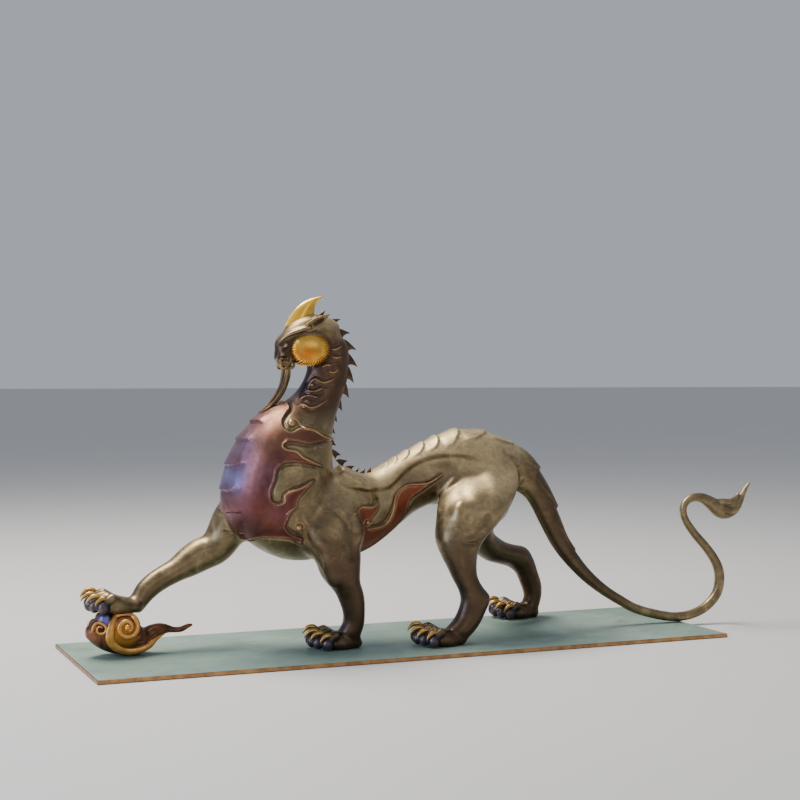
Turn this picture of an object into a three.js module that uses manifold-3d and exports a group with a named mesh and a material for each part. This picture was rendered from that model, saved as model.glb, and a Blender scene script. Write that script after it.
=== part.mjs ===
// A striding pixiu in patinated bronze. It stands on a thin plate, with one forepaw on a curled cloud.
// Millimetres, +Z up. The head faces -X, the tail runs to +X, and the viewer's side is -Y.
// The origin is the middle of the plate's underside.

import * as THREE from "three";
import { LoftGeometry } from "three/addons/geometries/LoftGeometry.js";
import { mergeVertices } from "three/addons/utils/BufferGeometryUtils.js";
import Module from "manifold-3d";

const wasm = await Module();
wasm.setup();

// Driving sizes
const plate = { length: 480, width: 150, thickness: 3, edgeBevel: 0.5 };
const soleGap = 0.1; // the feet are soldered on, and a hair's breadth is kept under them
const cloudGap = 0.3;
const ground = plate.thickness + soleGap;
const near = -1; // the side of the body that is towards -Y
const far = 1;

// The outlines below are seen from the side. A row holds a section's two opposite edges, where its middle
// lies across the body, and its half width: [edge x, edge z, other edge x, other edge z, y, half width].
const neckAndChest = [
  [-67.5, 221, -51, 235, 0, 8],
  [-67, 212, -41.5, 223, 0, 11],
  [-71, 204.5, -39.5, 211.5, 0, 12],
  [-73, 198, -41, 200, 0, 12.5],
  [-76.5, 191.5, -43, 190, 0, 13.5],
  [-82, 185, -46.5, 180, 0, 15.5],
  [-91.5, 178.5, -51, 168.5, -1, 20],
  [-104, 172.5, -54, 157, -1, 27],
  [-115, 162.5, -55, 145, -2, 32],
  [-124, 151, -55, 131, -2, 36],
  [-130.5, 137, -57, 117, -2, 38.5],
  [-134.5, 119.5, -60, 106, -2, 39],
  [-133.5, 105, -62, 95, -2, 37],
  [-128, 93.5, -65, 84, -2, 32.5],
  [-118, 81.5, -66, 74.5, -2, 25.5],
  [-105, 72.5, -67, 67.5, -2, 16.5],
  [-91, 66.5, -72, 65, -2, 7],
];
const trunk = [
  [-70, 66, -48, 134, -1, 30],
  [-46, 64.5, -39, 131, 0, 31],
  [-26, 71, -27.5, 126.5, 1, 26],
  [-10.5, 79.5, -15, 128.5, 2, 22],
  [1, 88, -1, 135, 3, 19],
  [13.5, 96.5, 12, 141.5, 4, 18],
  [28, 102, 24.5, 148, 5, 19],
  [42.5, 103.5, 37.5, 153, 6, 21.5],
  [55.5, 103, 50.5, 156.5, 7, 25],
  [69.5, 102, 64.5, 157.5, 8, 27.5],
  [81.5, 103, 76.5, 155, 8, 27],
  [89, 109, 88.5, 150.5, 8, 23],
  [95, 117, 99.5, 145, 8, 16],
  [99, 125, 107, 138, 8, 8],
];
const nearForeleg = [
  [-79, 117, -38, 124, -14, 12],
  [-85, 104, -41, 111, -21, 14.5],
  [-86.5, 93, -43, 99, -26, 15.5],
  [-85, 82, -43.5, 87.5, -29, 15.5],
  [-80, 73.5, -42.5, 78, -30, 15],
  [-75, 66, -42, 69, -30, 14],
  [-72, 58, -42.5, 59, -30, 13],
  [-67, 51, -42.5, 51.5, -30, 11.5],
  [-60.5, 44, -40, 45.5, -29, 10],
  [-57, 37, -38, 38, -28, 9],
  [-54, 30, -37.5, 29, -27, 8.5],
  [-53, 22, -37.5, 19, -25, 8.8],
  [-57, 14, -41, 8, -23, 9.5],
];
const nearHindLeg = [
  [48, 131, 90, 137, 0, 10],
  [40, 122, 94, 127.5, -9, 16],
  [30, 112, 89.5, 115.5, -17, 21],
  [23, 101, 80, 103, -24, 21.5],
  [19, 90, 66.5, 89, -29, 19.5],
  [16.5, 79.5, 54, 78.5, -33, 16.5],
  [19.5, 69, 48, 69, -35, 13.5],
  [23.5, 60, 46, 60, -37, 11.5],
  [27.5, 51, 46.5, 51.5, -38, 10],
  [32, 42, 51, 43.5, -39, 9],
  [33.5, 34.5, 57, 36, -39, 8.5],
  [31.5, 27.5, 53, 26, -39, 8.5],
  [27.5, 20.5, 47, 15.5, -39, 9],
  [21, 14.5, 39, 7, -39, 10],
];
const farForeleg = [
  [-122, 122, -92, 84, 6, 12],
  [-129, 112, -106, 81, 16, 16],
  [-134.5, 101, -113.5, 78, 22, 15.5],
  [-137.5, 91.5, -120.5, 69, 25, 14.5],
  [-141.5, 83, -128, 62.5, 26, 13],
  [-149.5, 80.5, -138.5, 58.5, 25, 11.5],
  [-159.5, 74, -149, 54.5, 24, 10.5],
  [-168, 67, -159.5, 51.5, 22, 9],
  [-177, 62.5, -169.5, 47.5, 20, 8],
  [-185.5, 58, -177.5, 43.5, 17, 7.5],
  [-193, 52, -184, 38.5, 15, 7.5],
  [-197.5, 45.5, -188.5, 34, 13, 7.5],
  [-202, 40, -193, 30.5, 11, 8],
];
const farHindLeg = [
  [62, 110, 96, 118, 20, 16],
  [66, 95, 98, 105, 28, 17],
  [72, 77, 97, 91, 34, 16],
  [82, 61, 95, 78, 39, 14],
  [93.5, 52.5, 107, 68.5, 44, 12.5],
  [106.5, 48.5, 119, 64, 48, 11],
  [118, 45, 133.5, 60.5, 53, 9.8],
  [126.5, 39.5, 141.5, 51, 56, 9],
  [130.5, 32.5, 146, 40, 57, 8.3],
  [134, 25, 150, 30, 58, 8],
  [135.5, 18, 150, 19, 58, 8],
  [131, 12, 146.5, 8, 58, 9],
];
const horn = [
  [-59.5, 256.8, -58.8, 256.4, 0, 0.4],
  [-67.5, 255, -61.5, 254.3, 0, 1.2],
  [-74.5, 252, -64, 252, 0, 2.4],
  [-80.5, 247, -65.5, 248.5, 0, 3.6],
  [-85.5, 240.5, -66, 244.5, 0, 4.6],
  [-89, 234.5, -67, 238, 0, 5.5],
];

// Round-sectioned limbs: [x, y, z, half width, half depth]
const tail = [
  [80, 8, 133, 14, 17],
  [96, 8, 131, 12.5, 17],
  [108, 7, 122, 10.5, 14.5],
  [119.5, 6, 109, 9, 10.8],
  [130, 4, 86.5, 8, 9],
  [139, 2, 67, 7, 7.2],
  [154.5, -1, 47, 5.6, 5.7],
  [170, -4, 33, 4.7, 4.7],
  [186, -7, 22.4, 4.3, 4.3],
  [203, -9, 13.8, 4.2, 4.2],
  [233.5, -12, 7.1, 4.1, 4.1],
  [257, -12, 10.8, 4.1, 4.1],
  [272, -12, 22.4, 4.3, 4.3],
  [275.6, -12, 36.8, 4.4, 4.4],
  [272, -12, 49, 4.2, 4.2],
  [262.6, -12, 61.5, 3.9, 3.9],
  [251.3, -12, 73.2, 3.7, 3.7],
  [242.8, -12, 84.7, 3.4, 3.4],
  [241, -12, 94.4, 3.3, 3.3],
  [247.4, -12, 101, 3.5, 3.6],
  [257.8, -12, 101.4, 4, 4.2],
  [267.3, -12, 96.7, 5.4, 5.6],
  [277.8, -12, 90, 6.3, 6.8],
  [288.3, -12, 91.5, 5, 5.6],
  [295, -12, 98.3, 3, 3.4],
  [299, -12, 107, 1.8, 2.2],
  [306.6, -12, 114.2, 0.5, 0.6],
];
const tailLock = [
  [272, -13, 95, 3, 3],
  [281, -14, 95.5, 3.4, 3.6],
  [288, -14, 99.5, 2.2, 2.4],
  [292.5, -13, 105.5, 0.5, 0.6],
];
const skull = [
  [-50, 0, 228, 9, 11],
  [-59, 0, 232, 12, 11.5],
  [-69, 0, 231.5, 13, 12],
  [-78, 0, 227.5, 11.5, 11.5],
  [-85.5, 0, 221, 9, 9],
  [-90.5, 0, 214, 7.2, 6.6],
  [-93.5, 0, 209, 4, 3.6],
];
const jaw = [
  [-62, 0, 214, 8, 7],
  [-74, 0, 213, 7, 5.5],
  [-84, 0, 212, 6, 5],
  [-90, 0, 210, 5, 4],
];
const brow = [
  [-91, 7, 219, 1, 1],
  [-86, 8.5, 225.5, 2.4, 2.2],
  [-79, 11, 229.5, 2.8, 2.6],
  [-71, 12, 231.5, 2, 2],
];
const ear = [
  [-74, 11, 232, 2.5, 3],
  [-69.5, 13, 236, 3.2, 4.2],
  [-65, 14, 239, 2.6, 3.6],
  [-60, 14.5, 243, 0.5, 0.7],
];
const beardStrand = [
  [-88.5, 2.5, 207, 2.6, 2.6],
  [-88, 4.4, 200, 2.2, 2.5],
  [-89, 4.8, 193, 1.9, 2.2],
  [-91.5, 4.4, 186.5, 1.9, 2],
  [-96.5, 3.8, 180, 2, 1.9],
  [-102, 3.2, 175.3, 2, 1.7],
  [-108, 2.8, 171, 0.8, 0.6],
];

// Swellings: the middle, the three half sizes and the tilt in side view, in degrees
const swellings = [
  { at: [-43, -19, 116], size: [19, 10, 12], tilt: 28 }, // near shoulder blade
  { at: [-43, 18, 116], size: [19, 10, 12], tilt: 28 }, // far shoulder blade
  { at: [62, -21, 105], size: [19, 17, 18], tilt: 30 }, // near haunch
  { at: [78, 26, 108], size: [18, 16, 18], tilt: 30 }, // far haunch
];
const cheek = { at: [-71, 10.5, 218], size: [15, 6, 12], tilt: -8 };
const beardKnot = { at: [-89, 0, 207.5], size: [6.3, 7, 6], tilt: 0 };

// The crest runs down the nape to the middle of the back as one row of saw teeth: [x, z] along its root.
const crestLine = [
  [-67, 242],
  [-58, 240.5],
  [-49, 235],
  [-41, 225],
  [-37.5, 211],
  [-40, 198],
  [-46, 182],
  [-51.5, 166],
  [-52.5, 152],
  [-48.5, 141],
  [-40, 132.5],
  [-29, 128],
  [-15, 129.5],
];
const crest = { teeth: 19, thickness: 3, rootDepth: 7, tallest: 5.8, shortest: 2.4 };

// Overlapping plates: where each ends, its half width and how far that end stands proud. With `out` at 1
// the outer side is on the left as the row is followed, with X to the right and Z up.
const backPlates = {
  start: [-15, 132],
  y: 5,
  out: 1,
  ends: [
    { x: -6, z: 135, half: 4.5, proud: 2 },
    { x: 4, z: 140, half: 5.5, proud: 2.2 },
    { x: 14, z: 146.5, half: 7, proud: 2.4 },
    { x: 26, z: 152.5, half: 8.5, proud: 2.6 },
    { x: 43, z: 158, half: 11, proud: 2.8 },
    { x: 68, z: 158, half: 12, proud: 3 },
    { x: 93, z: 147, half: 12, proud: 3.2 },
  ],
};
const tailPlates = {
  start: [98, 143],
  y: 6,
  out: 1,
  ends: [
    { x: 117, z: 126.5, half: 9.5, proud: 3 },
    { x: 133, z: 95, half: 8, proud: 2.2 },
    { x: 147, z: 63.5, half: 6, proud: 1.8 },
  ],
};
const breastPlates = {
  start: [-105, 172],
  y: -2,
  out: -1,
  ends: [
    { x: -115, z: 163.5, half: 17, proud: 1.2 },
    { x: -124, z: 151, half: 20, proud: 1.2 },
    { x: -130, z: 136, half: 22, proud: 1.2 },
    { x: -133, z: 118.5, half: 23, proud: 1 },
    { x: -130.5, z: 101.5, half: 21, proud: 1 },
  ],
};

// The edges of the flames stand up from both flanks. Their points are [across, height], seen from a little
// ahead of square-on.
const reliefTurn = THREE.MathUtils.degToRad(22.6);
const flameRims = [
  [[-80, 159], [-78, 167], [-71, 167], [-65, 161], [-57, 159], [-48, 155]],
  [[-54, 153], [-66, 151], [-77, 153], [-80, 150], [-72, 145], [-56, 136]],
  [[-56, 136], [-69, 138], [-80, 137], [-87, 122], [-85, 111], [-78, 114], [-61, 125]],
  [[-61, 125], [-70, 111], [-77, 98], [-77, 90], [-64, 82]],
  [[-22, 89], [-10, 91], [-4, 99], [-1, 112], [8, 118], [20, 118], [33, 125]],
  [[33, 125], [18, 114], [9, 110], [5, 100], [1, 93]],
  [[-37, 98], [-27, 104], [-17, 104], [-16, 109]],
  [[-66, 176], [-66, 182], [-59, 181]],
  [[-61, 192], [-58, 197], [-47, 195]],
];
const rim = { radius: 2.7, step: 9 };

// Paws: the middle of the palm, the side that the long inner toe is on, and the height of the sole
const paws = {
  nearFront: { palm: [-54, -22], inner: far, sole: ground },
  nearHind: { palm: [21, -39], inner: far, sole: ground },
  farHind: { palm: [131, 58], inner: near, sole: ground },
  farFront: { palm: [-207, 10], inner: near, sole: 33.5 },
};
const palm = { length: 15, width: 12.5, height: 8.5, lift: 3.5 };
const toeRadius = 4.4;
const clawRadius = 1.9;
// how far a toe lies to the inner side, how far its ball is ahead of the palm, and the rise of its claw
const toes = [
  { aside: -9.5, ahead: 14, rise: 0 },
  { aside: -3.5, ahead: 19, rise: 1 },
  { aside: 3.5, ahead: 21, rise: 2 },
  { aside: 10, ahead: 20, rise: 4 },
];

// The cloud, as [bottom x, bottom z, top x, top z, half width]
const cloud = {
  y: 10,
  outline: [
    [-230.5, 17, -230.5, 23.5, 4],
    [-225, 11.5, -225.5, 28, 9],
    [-219, 7.6, -220, 33, 11.5],
    [-211.5, 4.7, -212.5, 32, 13],
    [-203, 3.1, -204, 32, 13],
    [-193, 3.1, -195.5, 27.5, 12],
    [-186, 7, -190.5, 21.7, 9.5],
    [-181.5, 12.3, -185.5, 23, 7.5],
    [-176.5, 15.5, -179.5, 24, 6],
    [-171.5, 16.7, -174, 23.2, 4.5],
    [-167, 16.5, -168, 20.7, 3],
    [-162, 16.8, -163, 20.9, 2.5],
    [-158, 18.8, -158.6, 22.4, 2],
    [-154, 20.8, -154.7, 22.4, 0.8],
  ],
  scroll: { x: -204.5, y: 10, z: 24.5, radius: 9.6, band: 3.4, turns: 1.5, halfWidth: 15 },
  smallScroll: { x: -222.5, y: 6.5, z: 23.5, radius: 5.4, band: 2.2, turns: 1.3, halfWidth: 8 },
};

const vector = (x, y, z) => new THREE.Vector3(x, y, z);
const join = (solids) => solids.reduce((all, one) => all.add(one));
const mirrored = (stations, side) => stations.map(([x, y, z, ...size]) => [x, side * y, z, ...size]);

// A closed surface as a solid that can be joined and cut
function solidOf(geometry) {
  const bare = new THREE.BufferGeometry().setIndex(geometry.index);
  bare.setAttribute("position", geometry.attributes.position);
  const merged = mergeVertices(bare, 1e-3);
  return new wasm.Manifold(
    new wasm.Mesh({
      numProp: 3,
      vertProperties: merged.attributes.position.array,
      triVerts: new Uint32Array(merged.index.array),
    }),
  );
}

// The surface of a solid
function geometryOf(solid) {
  const { vertProperties, triVerts } = solid.getMesh();
  return new THREE.BufferGeometry()
    .setAttribute("position", new THREE.BufferAttribute(vertProperties, 3))
    .setIndex(new THREE.BufferAttribute(triVerts, 1));
}

// Oval rings skinned into one closed solid. ringAt gives a ring's centre and its two half axes.
function skin(rings, sides, ringAt) {
  const sections = [];
  for (let ring = 0; ring <= rings; ring++) {
    const { centre, across, deep } = ringAt(ring / rings);
    const section = [];
    for (let side = 0; side < sides; side++) {
      const angle = (side / sides) * 2 * Math.PI;
      const point = centre.clone().addScaledVector(across, Math.cos(angle));
      section.push(point.addScaledVector(deep, Math.sin(angle)));
    }
    sections.push(section);
  }
  return solidOf(new LoftGeometry(sections, { capStart: true, capEnd: true }));
}

const curveThrough = (points) => new THREE.CatmullRomCurve3(points, false, "catmullrom");

// A body whose two edges in side view are given, thickened all round by `grow`
function outlined(rows, rings, sides, grow = 0) {
  const edge = curveThrough(rows.map(([x, z, , , y]) => vector(x, y, z)));
  const otherEdge = curveThrough(rows.map(([, , x, z, y]) => vector(x, y, z)));
  const girth = curveThrough(rows.map(([, , , , , halfWidth]) => vector(0, -halfWidth - grow, 0)));
  return skin(rings, sides, (t) => {
    const centre = edge.getPoint(t).lerp(otherEdge.getPoint(t), 0.5);
    const half = otherEdge.getPoint(t).sub(centre);
    return { centre, across: half.setLength(half.length() + grow), deep: girth.getPoint(t) };
  });
}

// A round-sectioned limb along a line
function limb(stations, rings, sides) {
  const path = curveThrough(stations.map(([x, y, z]) => vector(x, y, z)));
  const girth = curveThrough(stations.map(([, , , wide, deep]) => vector(wide, deep, 0)));
  return skin(rings, sides, (t) => {
    const along = path.getTangent(t);
    const across = vector(0, 1, 0).projectOnPlane(along).normalize();
    const deep = vector(0, 0, 0).crossVectors(along, across);
    const size = girth.getPoint(t);
    across.multiplyScalar(size.x);
    deep.multiplyScalar(size.y);
    return { centre: path.getPoint(t), across, deep };
  });
}

function swelling({ at, size, tilt }, side = 1) {
  const [x, y, z] = at;
  const ball = new THREE.SphereGeometry(1, 8, 5)
    .scale(...size)
    .rotateY(THREE.MathUtils.degToRad(tilt))
    .translate(x, side * y, z);
  return solidOf(ball);
}

// A flat slab of the given shape, drawn in X and Z, about the plane at y
function slab(shape, y, halfWidth) {
  const options = { depth: 2 * halfWidth, bevelEnabled: false, curveSegments: 6 };
  const geometry = new THREE.ExtrudeGeometry(shape, options);
  return solidOf(geometry.rotateX(Math.PI / 2).translate(0, y + halfWidth, 0));
}

// Each tooth leans back: it rises slowly, and falls to the root at its tip.
function sawCrest() {
  const line = new THREE.CatmullRomCurve3(crestLine.map(([x, z]) => vector(x, z, 0)), false, "centripetal");
  const offset = (t, out) => {
    const at = line.getPointAt(t);
    const along = line.getTangentAt(t);
    return new THREE.Vector2(at.x - along.y * out, at.y + along.x * out);
  };
  const teeth = [];
  const root = [];
  for (let tooth = 0; tooth < crest.teeth; tooth++) {
    const start = tooth / crest.teeth;
    const end = (tooth + 0.97) / crest.teeth;
    const swell = Math.sin(Math.PI * Math.min(1, start * 1.25 + 0.12));
    const height = crest.shortest + (crest.tallest - crest.shortest) * swell;
    teeth.push(offset(start, 0.4), offset((start + end) / 2, height * 0.62), offset(end, height));
    root.push(offset(start, -crest.rootDepth));
  }
  teeth.push(offset(1, 0));
  root.push(offset(1, -crest.rootDepth));
  return slab(new THREE.Shape([...teeth, ...root.reverse()]), 0, crest.thickness / 2);
}

// Plates that overlap like tiles: each starts under the one before and rises to a sharp edge.
function tiles({ start, y, out, ends }) {
  const solids = [];
  let from = vector(start[0], y, start[1]);
  for (const { x, z, half, proud } of ends) {
    const to = vector(x, y, z);
    const along = to.clone().sub(from).normalize();
    const outward = vector(-along.z, 0, along.x).multiplyScalar(out);
    const thick = half * 0.28;
    const station = (t, wide, lift) => {
      const at = from.clone().lerp(to, t).addScaledVector(outward, lift - thick);
      return [at.x, at.y, at.z, wide, thick];
    };
    const stations = [
      station(-0.25, half * 0.7, -0.5),
      station(0.3, half * 0.92, proud * 0.3),
      station(1, half, proud),
    ];
    solids.push(limb(stations, 2, 7));
    from = to;
  }
  return solids;
}

// Lays a line of the relief on a flank by looking at it from the turned view.
function layOnFlank(target, points, side) {
  const caster = new THREE.Raycaster();
  const inward = vector(Math.sin(reliefTurn), -side * Math.cos(reliefTurn), 0);
  const right = vector(Math.cos(reliefTurn), side * Math.sin(reliefTurn), 0);
  const line = curveThrough(points.map(([across, height]) => vector(across, height, 0)));
  const laid = [];
  for (const { x, y } of line.getSpacedPoints(Math.max(3, Math.round(line.getLength() / rim.step)))) {
    const start = right.clone().multiplyScalar(x).addScaledVector(inward, -plate.length).setZ(y);
    caster.set(start, inward);
    const [hit] = caster.intersectObject(target);
    if (hit) laid.push(hit.point);
  }
  return laid;
}

// A rim has three sides, and one corner of them points away from the body. It thins out to both ends.
function flameRim(target, points, side) {
  const laid = layOnFlank(target, points, side);
  const last = laid.length - 1;
  const stations = laid.map(({ x, y, z }, i) => {
    const radius = side * rim.radius * (0.5 + 0.5 * Math.sin((Math.PI * (i + 0.5)) / (last + 1)));
    return [x, y, z, radius, radius];
  });
  return limb(stations, last, 3);
}

// A paw is a low palm with four arched toes. Each toe ends in a ball, and a claw lies over it.
function pawSolid({ palm: [x, y], inner, sole }, grow = 0) {
  const solids = [
    swelling({
      at: [x, y, sole + palm.lift],
      size: [palm.length + grow, palm.width + grow, palm.height + grow],
      tilt: 0,
    }),
  ];
  for (const { aside, ahead, rise } of toes) {
    const place = (forward, spread, up, radius) => [
      x - forward,
      y + inner * aside * spread,
      sole + up,
      radius + grow,
      radius + grow,
    ];
    const toe = [
      place(1, 0.5, 6.5, toeRadius),
      place(ahead * 0.55, 0.85, 8.8 + rise / 2, toeRadius * 0.95),
      place(ahead * 0.88, 1, 7 + rise / 3, toeRadius * 1.12),
      place(ahead, 1.05, 4.6 + rise / 4, toeRadius * 0.8),
    ];
    const claw = [
      place(ahead * 0.72, 1, 9.6 + rise, clawRadius),
      place(ahead + 1.5, 1.05, 10.6 + rise, clawRadius * 0.95),
      place(ahead + 4.5, 1.1, 8.8 + rise, clawRadius * 0.65),
      place(ahead + 6.5, 1.1, 6 + rise, clawRadius * 0.15),
    ];
    solids.push(limb(toe, 3, 5), limb(claw, 3, 4));
  }
  return join(solids);
}

// A disc with a rolled band standing proud of it, seen end-on as a spiral
function scrollSolid({ x, y, z, radius, band, turns, halfWidth }) {
  const steps = 15;
  const start = Math.PI * 1.15;
  const outer = [];
  const inner = [];
  for (let i = 0; i <= steps; i++) {
    const share = i / steps;
    const angle = start - share * turns * 2 * Math.PI;
    const ray = new THREE.Vector2(Math.cos(angle), Math.sin(angle));
    const reach = radius * (1 - 0.74 * share);
    const thick = band * (1 - 0.55 * share);
    outer.push(new THREE.Vector2(x, z).addScaledVector(ray, reach));
    inner.push(new THREE.Vector2(x, z).addScaledVector(ray, reach - thick));
  }
  const disc = new THREE.Shape().absarc(x, z, radius * 0.86, 0, 2 * Math.PI);
  const spiral = new THREE.Shape([...outer, ...inner.reverse()]);
  return join([slab(disc, y, halfWidth - 2), slab(spiral, y, halfWidth)]);
}

function cloudSolid() {
  const rows = cloud.outline.map((row) => [...row.slice(0, 4), cloud.y, row[4]]);
  return join([outlined(rows, 15, 10), scrollSolid(cloud.scroll), scrollSolid(cloud.smallScroll)]);
}

function headSolid() {
  const parts = [limb(skull, 8, 12), limb(jaw, 4, 8), outlined(horn, 6, 8), swelling(beardKnot)];
  for (const side of [near, far]) {
    parts.push(
      swelling(cheek, side),
      limb(mirrored(brow, side), 4, 5),
      limb(mirrored(ear, side), 4, 5),
      limb(mirrored(beardStrand, side), 8, 5),
    );
  }
  return join(parts);
}

// The part of space under a height, which is cut away so that the soles are flat
function below(height) {
  const depth = 50;
  const box = new THREE.BoxGeometry(2 * plate.length, 2 * plate.width, depth);
  return solidOf(box.translate(0, 0, height - depth / 2));
}

// The far foreleg, which reaches out to the cloud
const reachingLeg = (grow = 0) => outlined(farForeleg, 11, 9, grow);

function pixiuSolid() {
  const torso = join([
    outlined(neckAndChest, 18, 14),
    outlined(trunk, 12, 12),
    ...swellings.map((one) => swelling(one)),
    outlined(nearForeleg, 11, 9),
    outlined(nearHindLeg, 12, 9),
    reachingLeg(),
    outlined(farHindLeg, 10, 9),
  ]);
  const flank = new THREE.Mesh(geometryOf(torso));
  const rims = [];
  for (const points of flameRims) {
    for (const side of [near, far]) rims.push(flameRim(flank, points, side));
  }
  const solids = [
    torso,
    limb(tail, 38, 6),
    limb(tailLock, 4, 5),
    headSolid(),
    sawCrest(),
    ...tiles(backPlates),
    ...tiles(tailPlates),
    ...tiles(breastPlates),
    ...rims,
    ...Object.values(paws).map((one) => pawSolid(one)),
  ];
  return join(solids).subtract(below(ground));
}

function plateGeometry() {
  const { length, width, thickness, edgeBevel } = plate;
  const x = length / 2 - edgeBevel;
  const y = width / 2 - edgeBevel;
  const outline = new THREE.Shape().moveTo(-x, -y).lineTo(x, -y).lineTo(x, y).lineTo(-x, y);
  const geometry = new THREE.ExtrudeGeometry(outline, {
    depth: thickness - 2 * edgeBevel,
    bevelSize: edgeBevel,
    bevelThickness: edgeBevel,
    bevelSegments: 1,
  });
  return geometry.translate(0, 0, edgeBevel);
}

function named(name, geometry, color, roughness, metalness) {
  const mesh = new THREE.Mesh(geometry, new THREE.MeshStandardMaterial({ color, roughness, metalness }));
  mesh.name = name;
  return mesh;
}

const restingPaw = pawSolid(paws.farFront, cloudGap).add(reachingLeg(cloudGap));
const cloudUnderPaw = cloudSolid().subtract(restingPaw).subtract(below(ground));

const statue = new THREE.Group();
statue.add(
  named("base_plate", plateGeometry(), 0x7d948c, 0.55, 0.6),
  named("pixiu", geometryOf(pixiuSolid()), 0x6a5a40, 0.45, 0.8),
  named("cloud", geometryOf(cloudUnderPaw), 0x8a5a26, 0.45, 0.8),
);

export default statue;
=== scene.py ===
import math

import bmesh
import bpy
import numpy as np
from mathutils import Matrix, Vector
from mathutils.bvhtree import BVHTree


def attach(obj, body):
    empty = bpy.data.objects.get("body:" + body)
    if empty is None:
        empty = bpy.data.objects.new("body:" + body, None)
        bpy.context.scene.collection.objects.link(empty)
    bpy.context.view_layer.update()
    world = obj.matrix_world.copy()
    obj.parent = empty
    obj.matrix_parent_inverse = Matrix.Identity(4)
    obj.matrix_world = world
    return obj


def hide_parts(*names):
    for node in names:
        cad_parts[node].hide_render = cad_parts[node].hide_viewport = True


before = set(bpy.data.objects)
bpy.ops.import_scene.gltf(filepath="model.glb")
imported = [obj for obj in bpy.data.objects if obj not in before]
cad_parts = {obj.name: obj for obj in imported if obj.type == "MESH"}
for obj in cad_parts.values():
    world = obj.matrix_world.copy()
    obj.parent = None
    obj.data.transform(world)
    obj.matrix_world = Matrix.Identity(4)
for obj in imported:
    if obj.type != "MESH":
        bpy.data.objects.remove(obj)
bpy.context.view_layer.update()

# Rows and points are in millimetres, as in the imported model.
# Each mesh is scaled to metres when it is made.
mm = 0.001
near, far = -1, 1  # the viewer's side of the body and the other one


def say(words):
    print("pixiu:", words, flush=True)


# lines and skins

def splineThrough(rows, perRow):
    # a smooth run of numbers through every row
    points = np.array(rows, float)
    ends = np.vstack([2 * points[0] - points[1], points, 2 * points[-1] - points[-2]])
    made = []
    for i in range(len(points) - 1):
        a, b, c, d = ends[i:i + 4]
        for t in np.arange(perRow) / perRow:
            bend = (2 * a - 5 * b + 4 * c - d) * t * t + (3 * b - a - 3 * c + d) * t ** 3
            made.append(0.5 * (2 * b + (c - a) * t + bend))
    made.append(points[-1])
    return np.array(made)


def evenly(points, step):
    # the same line with a point about every step
    line = np.array(points, float)
    gaps = np.linalg.norm(np.diff(line, axis=0), axis=1)
    run = np.concatenate([[0], np.cumsum(gaps)])
    stops = np.linspace(0, run[-1], max(3, int(round(run[-1] / step)) + 1))
    return np.stack([np.interp(stops, run, line[:, k]) for k in range(line.shape[1])], axis=1)


def cutCorners(points, rounds=2):
    # a closed outline with its corners rounded
    line = np.array(points, float)
    for _ in range(rounds):
        after = np.roll(line, -1, axis=0)
        line = np.stack([0.8 * line + 0.2 * after, 0.2 * line + 0.8 * after], axis=1).reshape(-1, 2)
    return line


def outlineRings(rows, perRow=4, grow=0.0):
    # rows: one edge x and z, the other edge x and z, y, half width
    rings = []
    for x1, z1, x2, z2, y, half in splineThrough(rows, perRow):
        edge, other = Vector((x1, y, z1)), Vector((x2, y, z2))
        across = (other - edge) / 2
        across = across.normalized() * (across.length + grow)
        rings.append(((edge + other) / 2, across, Vector((0, max(half, 0.2) + grow, 0))))
    return rings


def limbRings(rows, perRow=4, aside=(0, 1, 0)):
    # rows: x, y, z, half width along `aside`, half depth
    line = splineThrough(rows, perRow)
    last = len(line) - 1
    rings = []
    for i, (x, y, z, wide, deep) in enumerate(line):
        along = Vector(line[min(i + 1, last)][:3]) - Vector(line[max(i - 1, 0)][:3])
        along.normalize()
        across = Vector(aside) - along * along.dot(Vector(aside))
        across.normalize()
        rings.append((Vector((x, y, z)), across * max(wide, 0.08), along.cross(across) * max(deep, 0.08)))
    return rings


def addSkin(bm, rings, sides=24, shape=None):
    # ovals joined one to the next and closed at both ends; shape bends a section's own two coordinates
    lastEdges = None
    for k, (centre, across, deep) in enumerate(rings):
        along = across.cross(deep).normalized()
        matrix = Matrix((across, deep, along)).transposed().to_4x4()
        matrix.translation = centre
        closed = k in (0, len(rings) - 1)
        made = bmesh.ops.create_circle(bm, cap_ends=closed, segments=sides, radius=1, matrix=matrix)
        if shape:
            back = matrix.inverted_safe()
            for vert in made["verts"]:
                spot = back @ vert.co
                spot.x, spot.y = shape(spot.x, spot.y, k / (len(rings) - 1))
                vert.co = matrix @ spot
        edges = list({edge for vert in made["verts"] for edge in vert.link_edges})
        if lastEdges:
            bmesh.ops.bridge_loops(bm, edges=lastEdges + edges)
        lastEdges = edges


def addBall(bm, at, size, tilt=0, finer=4):
    matrix = Matrix.Translation(at) @ Matrix.Rotation(math.radians(tilt), 4, "Y")
    bmesh.ops.create_icosphere(bm, subdivisions=finer, radius=1, matrix=matrix @ Matrix.Diagonal((*size, 1)))


def mirroredRows(rows, side):
    return [(x, side * y, *rest) for x, y, *rest in rows]


def makeObject(name, bm):
    bmesh.ops.recalc_face_normals(bm, faces=bm.faces)
    bmesh.ops.scale(bm, vec=(mm, mm, mm), verts=bm.verts)
    mesh = bpy.data.meshes.new(name)
    bm.to_mesh(mesh)
    bm.free()
    mesh.shade_smooth()
    piece = bpy.data.objects.new(name, mesh)
    bpy.context.scene.collection.objects.link(piece)
    return piece


def applyModifiers(piece):
    ready = piece.evaluated_get(bpy.context.evaluated_depsgraph_get())
    mesh = bpy.data.meshes.new_from_object(ready)
    piece.modifiers.clear()
    old = piece.data
    piece.data = mesh
    bpy.data.meshes.remove(old)


def fuse(piece, voxel):
    # one skin round everything in the piece
    fusing = piece.modifiers.new("fuse", "REMESH")
    fusing.mode = "VOXEL"
    fusing.voxel_size = voxel * mm
    applyModifiers(piece)


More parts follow.
